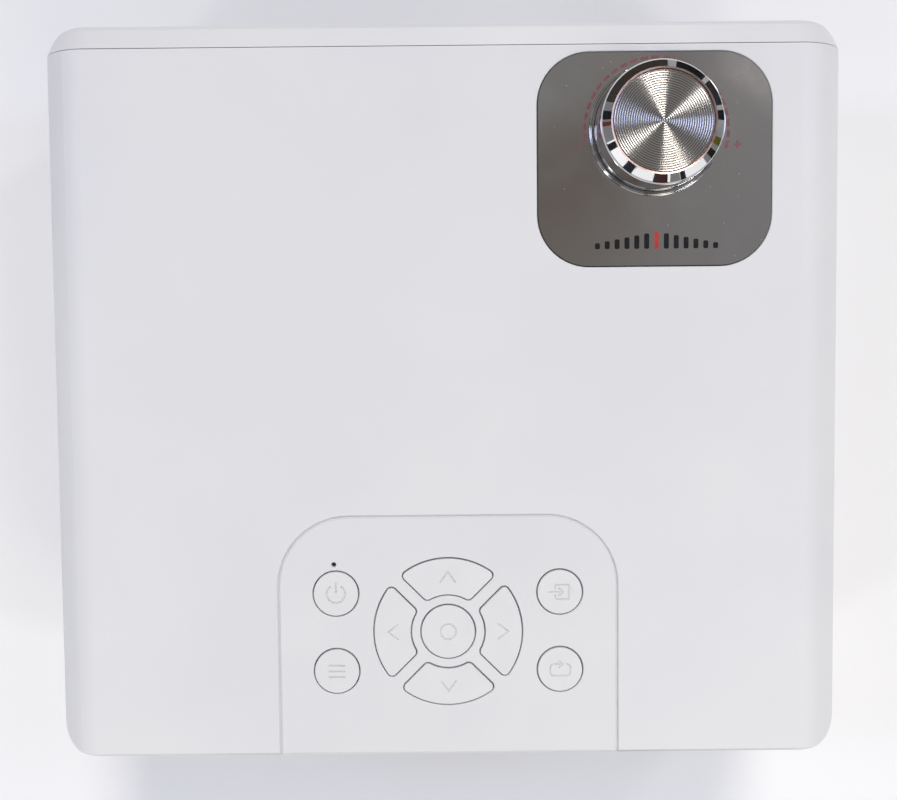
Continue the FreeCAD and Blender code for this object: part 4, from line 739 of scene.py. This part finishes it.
    def mark(self, bm: BMesh, place: Point, length: float, width: float,
             angle: float = 0.0) -> None:
        """Add one stroke of ink on the plate."""
        bar(bm, mm(*place, self.plate_top + self.mark_height / 4),
            mm(length, width, self.mark_height / 2), angle)

    def scale(self) -> None:
        """Print the dashed arc and the minus and plus signs."""
        dashes = bmesh.new()
        count = int((self.scale_end - self.scale_start) / self.dash_step)
        for index in range(count + 1):
            angle = math.radians(180 + self.scale_start + index * self.dash_step)
            place = (self.scale_centre[0] + self.scale_radius * math.cos(angle),
                     self.scale_centre[1] + self.scale_radius * math.sin(angle))
            self.mark(dashes, place, self.dash_length, self.dash_width, angle + math.pi / 2)
        for place in (self.minus_place, self.plus_place):
            self.mark(dashes, place, self.sign_size, self.sign_width)
        arm = (self.sign_size - self.sign_width) / 2
        for side in (-1, 1):
            place = (self.plus_place[0], self.plus_place[1] + side * (arm + self.sign_width) / 2)
            self.mark(dashes, place, self.sign_width, arm)
        self.printed("focus_scale_print", RED_INK, dashes)

    def symbol(self) -> None:
        """Print the focus symbol: bars that grow towards a marked middle."""
        bars = bmesh.new()
        middle = (self.symbol_bars - 1) / 2
        pitch = (self.symbol_width - self.symbol_bar_width) / (self.symbol_bars - 1)
        for index in range(self.symbol_bars):
            if index == middle:
                continue
            nearness = 1 - abs(index - middle) / middle
            height = self.symbol_height * (self.symbol_least + (1 - self.symbol_least) * nearness)
            place = (self.symbol_centre[0] + (index - middle) * pitch,
                     self.symbol_centre[1] + (self.symbol_height - height) / 2)
            self.mark(bars, place, self.symbol_bar_width, height)
        upright = [edge for edge in bars.edges
                   if abs(edge.verts[0].co.z - edge.verts[1].co.z) > self.mark_height * MM / 4]
        bmesh.ops.bevel(bars, geom=upright, offset=self.symbol_rounding * MM, affect="EDGES",
                        offset_type="OFFSET", segments=4, profile=0.5, material=-1)
        self.printed("focus_symbol_print", BLACK_INK, bars)
        accent = bmesh.new()
        self.mark(accent, self.symbol_centre, self.symbol_bar_width * self.accent_share,
                  self.symbol_height)
        self.printed("focus_symbol_accent", SIGNAL_INK, accent)

    def build(self) -> None:
        """Make every piece of the focus drive that shows."""
        self.knob()
        self.disc()
        self.plate()
        self.seat_ring()
        self.scale()
        self.symbol()


# ---------------------------------------------------------------- keys

ARC_STEP = 12                  # degrees


class Icon(Enum):
    """The sign engraved on a key."""

    POWER = "power"
    MENU = "menu"
    SOURCE = "source"
    RETURN = "return"
    RING = "ring"
    CHEVRON = "chevron"


@dataclass
class Keypad:
    """The nine keys with their engraved signs."""

    pad_centre: Point = (0.0, 65.6)
    side_x: float = 30.8
    side_y: float = 10.8
    chevron_radius: float = 15.2
    key_top: float = 88.2
    line_width: float = 0.48
    line_sides: int = 12           # of the discs that round a line's ends and corners
    depth: float = 0.4
    reach: float = 0.3             # how far a cutter stands above the key
    key_edge: float = 0.3

    def places(self) -> dict[str, tuple[Point, Icon, float]]:
        """Say where each key's sign is, what it shows and how it is turned, in degrees."""
        x, y = self.pad_centre
        far = self.chevron_radius
        return {
            "power": ((x + self.side_x, y - self.side_y), Icon.POWER, 0),
            "menu": ((x + self.side_x, y + self.side_y), Icon.MENU, 0),
            "source": ((x - self.side_x, y - self.side_y), Icon.SOURCE, 0),
            "return": ((x - self.side_x, y + self.side_y), Icon.RETURN, 0),
            "ok": ((x, y), Icon.RING, 0),
            "up": ((x, y - far), Icon.CHEVRON, 0),
            "down": ((x, y + far), Icon.CHEVRON, 180),
            "left": ((x + far, y), Icon.CHEVRON, 90),
            "right": ((x - far, y), Icon.CHEVRON, 270),
        }

    def strokes(self, icon: Icon) -> list[list[Point]]:
        """Give an icon's lines in mm. Right and up are positive, as for someone who reads it."""
        if icon is Icon.POWER:
            return [self.arc(2.5, 128, 412), [(0, 0.5), (0, 3.0)]]
        if icon is Icon.MENU:
            return [[(-2.1, rise), (2.1, rise)] for rise in (-1.6, 0, 1.6)]
        if icon is Icon.SOURCE:
            screen = [(-1.3, 0.9), (-1.3, 2.0), (2.4, 2.0), (2.4, -2.0), (-1.3, -2.0), (-1.3, -0.9)]
            return [screen, [(-2.9, 0), (0.9, 0)], [(-0.2, 1.0), (0.9, 0), (-0.2, -1.0)]]
        if icon is Icon.RETURN:
            loop = [(1.9, 1.5), (2.5, 1.2), (2.8, 0.6), (2.8, -0.8), (2.5, -1.5), (1.9, -1.8),
                    (-1.9, -1.8), (-2.5, -1.5), (-2.8, -0.8), (-2.8, 0.6), (-2.5, 1.2),
                    (-1.9, 1.5), (0.7, 1.5)]
            return [loop, [(-0.2, 2.3), (0.7, 1.5), (-0.2, 0.7)]]
        if icon is Icon.RING:
            return [self.arc(2.1, 0, 360)]
        return [[(-2.0, -1.3), (0, 1.4), (2.0, -1.3)]]

    def arc(self, radius: float, start: float, end: float) -> list[Point]:
        """Give the points of a round line.

        Args:
            radius: its radius in mm.
            start: where it starts, in degrees from the right.
            end: where it ends.

        Returns:
            The points, one every ARC_STEP degrees or so.
        """
        count = round((end - start) / ARC_STEP)
        angles = [math.radians(start + (end - start) * index / count)
                  for index in range(count + 1)]
        return [(radius * math.cos(angle), radius * math.sin(angle)) for angle in angles]

    def cutter(self, place: Point, icon: Icon, turn: float) -> BMesh:
        """Build the tool that engraves one sign.

        Args:
            place: the middle of the sign, in mm.
            icon: which sign it is.
            turn: how far it is turned anticlockwise, in degrees.

        Returns:
            Bars and discs along the sign's lines, through the key's top.
        """
        bm = bmesh.new()
        height = self.depth + self.reach
        middle = self.key_top - self.depth + height / 2
        radius = self.line_width / 2 * MM
        readable = Matrix.Rotation(math.pi + math.radians(turn), 2)
        for line in self.strokes(icon):
            points = [Vector(place) + readable @ Vector(point) for point in line]
            for point in points:
                place_at = Matrix.Translation(mm(point.x, point.y, middle))
                bmesh.ops.create_cone(bm, cap_ends=True, segments=self.line_sides, radius1=radius,
                                      radius2=radius, depth=height * MM, matrix=place_at)
            for start, end in zip(points, points[1:]):
                along = end - start
                halfway = (start + end) / 2
                bar(bm, mm(halfway.x, halfway.y, middle), mm(along.length, self.line_width, height),
                    math.atan2(along.y, along.x))
        return bm

    def build(self) -> None:
        """Make the nine keys."""
        for name, (place, icon, turn) in self.places().items():
            cap = merged_copy(f"button_{name}")
            soften_top(cap, self.key_top, self.key_edge, 3)
            Piece(f"key_cap_{name}", f"key_{name}", "white_keys", (),
                  (f"button_{name}",)).make(cap, self.cutter(place, icon, turn))


# ---------------------------------------------------------------- case

@dataclass
class CaseShells:
    """The top cover and the key panel, with the rounded edges that a mould gives their openings."""

    top: float = 88.0
    edge: float = 0.38
    seam_half_width: float = 46.75
    seam_front: float = 33.35
    seam_rear: float = 99.4
    seam_corner: float = 19.55
    seam_width: float = 0.4
    seam_drop: float = 0.6
    seam_thickness: float = 0.2

    def shell(self, node: str, name: str, slot: str) -> None:
        """Copy a shell and round the edges of its top face.

        Args:
            node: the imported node.
            name: the piece's name.
            slot: its material slot.
        """
        bm = merged_copy(node)
        soften_top(bm, self.top, self.edge, 3)
        Piece(name, "case", slot, (), (node,)).make(bm)

    def seam(self) -> None:
        """Make the ledge that shows pale at the bottom of the gap around the key panel."""
        bm = bmesh.new()
        depth = self.seam_rear - self.seam_front
        place = (Matrix.Translation(mm(0, self.seam_front + depth / 2,
                                       self.top - self.seam_drop - self.seam_thickness))
                 @ Matrix.Diagonal((self.seam_half_width * MM, depth / 2 * MM, 1, 1)))
        bmesh.ops.create_grid(bm, x_segments=1, y_segments=1, size=1, matrix=place)
        corners = [v for v in bm.verts if v.co.y < self.seam_front * MM + SLACK]
        bmesh.ops.bevel(bm, geom=corners, offset=self.seam_corner * MM, offset_type="OFFSET",
                        affect="VERTICES", segments=24, profile=0.5, material=-1)
        inner = bm.faces[:]
        bmesh.ops.inset_region(bm, faces=inner, thickness=self.seam_width * MM,
                               use_boundary=True, use_even_offset=True)
        rear = (self.seam_rear - self.seam_width) * MM
        across = [face for face in bm.faces if face not in inner
                  and face.calc_center_median().y > rear]
        bmesh.ops.delete(bm, geom=inner + across, context="FACES")
        raised = bmesh.ops.extrude_face_region(bm, geom=bm.faces[:])
        bmesh.ops.translate(bm, verts=[v for v in raised["geom"] if isinstance(v, BMVert)],
                            vec=mm(0, 0, self.seam_thickness))
        bmesh.ops.recalc_face_normals(bm, faces=bm.faces)
        Piece("key_panel_seam", "case", "white_shell").make(bm)

    def build(self) -> None:
        """Make the shells."""
        self.seam()
        self.shell("keypad_panel", "key_panel_shell", "white_keypad")
        self.shell("top_cover", "top_cover_shell", "white_shell")


# ---------------------------------------------------------------- lens and front

@dataclass
class FrontDetails:
    """What shows behind the front's openings: the lens's light baffle and the dust filter."""

    lens_axis: Point = (-56.8, 44.0)   # x and z
    barrel_mouth: float = -91.6        # y where the baffle starts
    baffle_rings: int = 6
    baffle_pitch: float = 0.85
    baffle_outer: float = 24.9
    baffle_first: float = 24.7
    baffle_step: float = 0.5
    baffle_inner: float = 23.0
    filter_left: float = -11.0
    filter_right: float = 95.0
    filter_bottom: float = 25.0
    filter_top: float = 69.0
    filter_face: float = -95.6
    wire: float = 0.35
    wire_pitch: float = 1.8
    weave_step: float = 0.3        # how far the level wires lie behind the upright ones

    def baffle(self) -> None:
        """Make the stepped rings that catch stray light in front of the glass."""
        x, z = self.lens_axis
        profile: list[Point] = [(self.baffle_outer, 0)]
        for index in range(self.baffle_rings):
            share = index / self.baffle_rings
            radius = self.baffle_first + (self.baffle_inner - self.baffle_first) * share
            profile += [(radius, index * self.baffle_pitch),
                        (radius - self.baffle_step, (index + 0.5) * self.baffle_pitch)]
        profile.append((self.baffle_outer, self.baffle_rings * self.baffle_pitch))
        bm = spun(profile, mm(x, self.barrel_mouth, z), Axis.Y, 128)
        Piece("lens_light_baffle", "lens", "black_abs").make(bm)

    def dust_filter(self) -> None:
        """Make the woven filter behind the grille."""
        bm = bmesh.new()
        width = self.filter_right - self.filter_left
        height = self.filter_top - self.filter_bottom
        middle_x = (self.filter_left + self.filter_right) / 2
        middle_z = (self.filter_bottom + self.filter_top) / 2
        for index in range(int(width / self.wire_pitch) + 1):
            bar(bm, mm(self.filter_left + index * self.wire_pitch, self.filter_face, middle_z),
                mm(self.wire, self.wire, height))
        for index in range(int(height / self.wire_pitch) + 1):
            bar(bm, mm(middle_x, self.filter_face + self.weave_step,
                       self.filter_bottom + index * self.wire_pitch),
                mm(width, self.wire, self.wire))
        Piece("grille_dust_filter", "case", "grille_black", (FILTER_WIRE,)).make(bm)

    def build(self) -> None:
        """Make the front's inner pieces."""
        self.baffle()
        self.dust_filter()


# ---------------------------------------------------------------- rear and underside

class Sign(Enum):
    """A letterless sign over a socket: each stroke's place and size across and up, and its turn."""

    SOUND = ((0, 0, 2.6, 0.4, 0), (-1.3, -0.8, 0.5, 1.7, 0), (1.3, -0.8, 0.5, 1.7, 0))
    SCREEN = ((0, -1.1, 4.2, 0.35, 0), (0, 1.1, 4.2, 0.35, 0), (-2.1, 0, 0.35, 2.5, 0),
              (2.1, 0, 0.35, 2.5, 0), (0, -1.9, 2.0, 0.35, 0))
    BRANCHES = ((0, 0, 5.0, 0.35, 0), (-0.9, 0.6, 1.7, 0.35, -40), (0.6, -0.6, 1.7, 0.35, -40),
                (-2.5, 0, 0.9, 0.9, 0))


@dataclass(frozen=True)
class Contacts:
    """The row of contacts on the tongue of one kind of socket."""

    sockets: tuple[float, ...]     # x of each
    count: int
    pitch: float
    width: float
    behind: float                  # from the sockets' mouths to the contacts' middles
    height: float


@dataclass
class RearDetails:
    """The sockets' contacts, nuts and printed signs on the rear panel."""

    face: float = 99.8
    hdmi: Contacts = Contacts((-20.0, 2.0), 10, 1.0, 0.5, 6.5, 26.2)
    usb: Contacts = Contacts((24.0, 44.0), 4, 2.5, 1.1, 7.0, 25.3)
    contact_length: float = 8.0
    contact_thickness: float = 0.06
    jack_places: tuple[float, ...] = (-66.0, -50.0)
    jack_height: float = 26.5
    nut_bore: float = 1.95
    nut_radius: float = 3.3
    nut_rear: float = 0.15         # past the face
    nut_front: float = -0.35
    nut_edge: float = 0.12
    panel_face: float = 99.5
    sign_height: float = 37.0
    ink: float = 0.02

    def contacts(self) -> None:
        """Make the gold contacts on the tongues."""
        bm = bmesh.new()
        for row in (self.hdmi, self.usb):
            for x in row.sockets:
                for index in range(row.count):
                    across = (index - (row.count - 1) / 2) * row.pitch
                    bar(bm, mm(x + across, self.face - row.behind, row.height),
                        mm(row.width, self.contact_length, self.contact_thickness))
        Piece("socket_contacts", "case", "port_steel", (GOLD,)).make(bm)

    def jack_nuts(self) -> None:
        """Make the nuts around the audio jacks."""
        for index, x in enumerate(self.jack_places):
            bm = spun([(self.nut_bore, self.nut_front), (self.nut_radius, self.nut_front),
                       (self.nut_radius, self.nut_rear), (self.nut_bore, self.nut_rear)],
                      mm(x, self.face, self.jack_height), Axis.Y, 48)
            soften(bm, self.nut_edge, 2,
                   lambda edge: all(v.co.y > self.face * MM for v in edge.verts))
            Piece(f"jack_nut_{index + 1}", "case", "port_steel").make(bm)

    def signs(self) -> None:
        """Print a plain sign over each socket."""
        bm = bmesh.new()
        for sign, sockets in ((Sign.SOUND, self.jack_places), (Sign.SCREEN, self.hdmi.sockets),
                              (Sign.BRANCHES, self.usb.sockets)):
            for x in sockets:
                for across, up, width, height, turn in sign.value:
                    bar(bm, mm(x + across, self.panel_face + self.ink / 2, self.sign_height + up),
                        mm(width, self.ink, height), math.radians(turn), Axis.Y)
        Piece("port_signs", "case", "rear_panel_black", (PALE_INK,)).make(bm)

    def build(self) -> None:
        """Make the rear's small pieces."""
        self.contacts()
        self.jack_nuts()
        self.signs()


@dataclass
class Underside:
    """The case screws with their cross recesses."""

    places: tuple[Point, ...] = ((97.0, -82.5), (-97.0, -82.5), (97.0, 93.0), (-97.0, 93.0))
    recess_length: float = 3.2
    recess_width: float = 0.75
    recess_depth: float = 1.1
    turn: float = 20.0             # degrees. Each screw stopped at a turn of its own

    def screws(self) -> None:
        """Cut a cross into each case screw."""
        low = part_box("case_screws")[0].z / MM
        cutter = bmesh.new()
        for x, y in self.places:
            for size in ((self.recess_length, self.recess_width),
                         (self.recess_width, self.recess_length)):
                bar(cutter, mm(x, y, low), mm(*size, 2 * self.recess_depth),
                    math.radians(self.turn + x))
        Piece("cross_head_screws", "case", "screw_steel", (),
              ("case_screws",)).make(merged_copy("case_screws"), cutter)

    def build(self) -> None:
        """Make the underside's small pieces."""
        self.screws()


# ---------------------------------------------------------------- studio

def way_to(azimuth: float, elevation: float) -> Vector:
    """Give the unit vector towards a place in the studio.

    Args:
        azimuth: degrees from +X, anticlockwise from above.
        elevation: degrees above the floor.

    Returns:
        The direction.
    """
    flat, up = math.radians(azimuth), math.radians(elevation)
    return Vector((math.cos(flat) * math.cos(up), math.sin(flat) * math.cos(up), math.sin(up)))


@dataclass(frozen=True)
class Lamp:
    """A lamp that looks at the projector."""

    name: str
    azimuth: float
    elevation: float
    power: float
    colour: str = "#FFFFFF"

    def hang(self, kind: str) -> Object:
        """Make the lamp, turned towards the projector.

        Args:
            kind: the type of light.

        Returns:
            The lamp's object.
        """
        light = bpy.data.lights.new(self.name, kind)
        light.energy = self.power
        light.color = srgb(self.colour)[:3]
        holder = add_object(self.name, light)
        away = way_to(self.azimuth, self.elevation)
        holder.rotation_euler = away.to_track_quat("Z", "Y").to_euler()
        return holder


@dataclass(frozen=True)
class Softbox(Lamp):
    """A soft lamp near the projector."""

    width: float = 0.2             # metres
    height: float = 0.6
    distance: float = 1.15
    aim: float = 0.08              # height that it looks at

    def light(self) -> None:
        """Place the lamp."""
        holder = self.hang("AREA")
        holder.data.shape = "RECTANGLE"
        holder.data.size = self.width
        holder.data.size_y = self.height
        away = way_to(self.azimuth, self.elevation)
        holder.location = Vector((0, 0, self.aim)) + away * self.distance
        holder.visible_camera = False


@dataclass(frozen=True)
class Skylight(Lamp):
    """A wide, far lamp that lights the whole floor evenly."""

    spread: float = 16.0           # degrees

    def light(self) -> None:
        """Place the lamp."""
        self.hang("SUN").data.angle = math.radians(self.spread)


@dataclass(frozen=True)
class Card:
    """A studio card that only shows in reflections."""

    name: str
    azimuth: float
    spread: float                  # degrees that it covers
    low: float                     # metres above the floor
    high: float
    colour: str
    distance: float = 0.62
    thickness: float = 0.004

    def stand(self) -> None:
        """Stand the card up."""
        finish = Finish("card_" + self.name, self.colour, self.colour, 0.8, 0.05, 200, 4, 0.05)
        middle = mm(*KNOB_CENTRE, 0) + way_to(self.azimuth, 0) * self.distance
        middle.z = (self.low + self.high) / 2
        width = 2 * self.distance * math.tan(math.radians(self.spread / 2))
        bm = bmesh.new()
        bar(bm, middle, Vector((self.thickness, width, self.high - self.low)),
            math.radians(self.azimuth))
        card = add_shape("card_" + self.name, bm)
        card.data.materials.append(finish.build())
        card.visible_camera = False
        card.visible_diffuse = False
        card.visible_shadow = False


@dataclass
class Studio:
    """Pale floor, soft light, and the camera above the projector."""

    floor_size: float = 40.0
    sky: str = "#F2F4F7"
    sky_strength: float = 0.28
    horizon_strength: float = 0.55     # as bright as the floor far away
    horizon_top: float = 0.14          # sine of the height where the sky gets even
    warm_patch: str = "#C2B4A8"        # faint clouds that the mirror and the chrome reflect
    patch_heights: Point = (0.7, 0.9)  # sines of the heights where the clouds set in and are full
    cloud_scale: float = 5.0
    cloud_edge: Point = (0.45, 0.65)
    lean: float = 3.259            # degrees the camera tips towards the rear
    roll: float = 0.541
    yaw: float = -0.005
    offset: tuple[float, float, float] = (-0.713, 1.637, -311.21)  # mm, in the camera's frame
    top_height: float = 88.0
    focal: float = 45.85
    sensor: float = 36.0
    lamps: tuple[Lamp, ...] = (
        Skylight("skylight", 263, 50, 1.1, "#FFF8EF"),
        Softbox("rear_warm", 122, 50, 1.5, "#FFF6EA", 0.22),
        Softbox("left_cool", 344, 46, 2.1, "#C4D2FF", 0.20),
        Softbox("right_cool", 196, 46, 1.5, "#C4D2FF", 0.18),
        Softbox("front_strip", 220, 48, 1.1, width=0.08),
        Softbox("left_rear_strip", 38, 50, 1.1, width=0.10),
        Softbox("rear_strip", 151, 50, 1.3, width=0.06),
        Softbox("rear_low", 84, 25, 1.2, width=1.10, height=0.34),
        Softbox("left_low", 30, 27, 0.8, width=0.70, height=0.34),
        Softbox("right_low", 140, 20, 0.6, width=0.60, height=0.34),
    )
    cards: tuple[Card, ...] = (
        Card("black_left", 20, 9, 0.02, 0.5, "#08090C"),
        Card("navy", 55, 13, 0.02, 0.5, "#0C1226"),
        Card("wine", 97, 17, 0.02, 0.5, "#3A0812"),
        Card("black_rear", 123, 6, 0.02, 0.5, "#0A0B0D"),
        Card("black_right", 160, 7, 0.02, 0.5, "#0A0B0D"),
        Card("moss", 172, 7, 0.02, 0.5, "#6E6A16"),
        Card("black_side", 194, 8, 0.02, 0.5, "#0A0B0D"),
        Card("slate", 212, 20, 0.02, 0.5, "#2C2C2E"),
        Card("black_front", 238, 24, 0.02, 0.6, "#060607"),
        Card("umber", 292, 70, 0.02, 0.5, "#3E3528"),
        Card("black_corner", 342, 10, 0.02, 0.5, "#0A0B0D"),
        Card("rust", 352, 5, 0.02, 0.5, "#7A3A28"),
    )

    def floor(self) -> None:
        """Lay the paper sweep."""
        bm = bmesh.new()
        bmesh.ops.create_grid(bm, x_segments=1, y_segments=1, size=self.floor_size / 2)
        floor = add_shape("studio_floor", bm)
        floor.data.materials.append(PAPER.build())

    def world(self) -> None:
        """Fill the room with light that is brighter towards the horizon, with faint warm clouds
        overhead.
        """
        world = bpy.data.worlds.new("studio_room")
        bpy.context.scene.world = world
        world.use_nodes = True
        tree = world.node_tree
        tree.nodes.clear()
        way = add_node(tree, "ShaderNodeTexCoord").outputs["Generated"]
        height = add_node(tree, "ShaderNodeSeparateXYZ", links={"Vector": way}).outputs["Z"]
        strength = add_node(tree, "ShaderNodeMapRange",
                            {"From Min": 0.0, "From Max": self.horizon_top,
                             "To Min": self.horizon_strength, "To Max": self.sky_strength},
                            {"Value": height}).outputs["Result"]
        start, full = self.patch_heights
        overhead = add_node(tree, "ShaderNodeMapRange", {"From Min": start, "From Max": full},
                            {"Value": height}).outputs["Result"]
        cloud = add_node(tree, "ShaderNodeTexNoise", {"Scale": self.cloud_scale, "Detail": 2.0},
                         {"Vector": way}).outputs["Fac"]
        thin, thick = self.cloud_edge
        clouds = add_node(tree, "ShaderNodeMapRange", {"From Min": thin, "From Max": thick},
                          {"Value": cloud}).outputs["Result"]
        share = add_node(tree, "ShaderNodeMath", {"operation": "MULTIPLY"},
                         {0: clouds, 1: overhead}).outputs[0]
        tone = add_node(tree, "ShaderNodeMix",
                        {"data_type": "RGBA", 6: srgb(self.sky), 7: srgb(self.warm_patch)},
                        {0: share}).outputs[2]
        glow = add_node(tree, "ShaderNodeBackground", links={"Color": tone, "Strength": strength})
        add_node(tree, "ShaderNodeOutputWorld", links={"Surface": glow.outputs[0]})

    def camera(self) -> None:
        """Hang the camera over the projector."""
        data = bpy.data.cameras.new("overhead_camera")
        data.lens = self.focal
        data.sensor_width = self.sensor
        data.sensor_fit = "HORIZONTAL"
        data.clip_start = 0.01
        camera = add_object("overhead_camera", data)
        turn = (Matrix.Rotation(math.radians(self.lean), 3, "X")
                @ Matrix.Rotation(math.radians(self.yaw), 3, "Y")
                @ Matrix.Rotation(math.radians(self.roll), 3, "Z"))
        flip = Matrix.Rotation(math.pi, 3, "Z")
        place = flip @ (turn.transposed() @ -mm(*self.offset)) + mm(0, 0, self.top_height)
        camera.matrix_world = Matrix.Translation(place) @ (flip @ turn.transposed()).to_4x4()
        bpy.context.scene.camera = camera

    def build(self) -> None:
        """Set up the whole studio."""
        bpy.context.scene.view_settings.view_transform = "Standard"
        self.floor()
        self.world()
        self.camera()
        for lamp in self.lamps:
            lamp.light()
        for card in self.cards:
            card.stand()
        LOG.info("studio: %d lamps, %d cards", len(self.lamps), len(self.cards))


def main() -> None:
    """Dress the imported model, add the fine pieces, and light it all."""
    logging.basicConfig(level=logging.INFO, format="%(name)s %(message)s")
    dress_packed_nodes()
    for part in (CaseShells(), FocusDrive(), Keypad(), FrontDetails(), RearDetails(), Underside(),
                 Studio()):
        LOG.info("building %s", type(part).__name__)
        part.build()


if __name__ == "__main__":
    main()
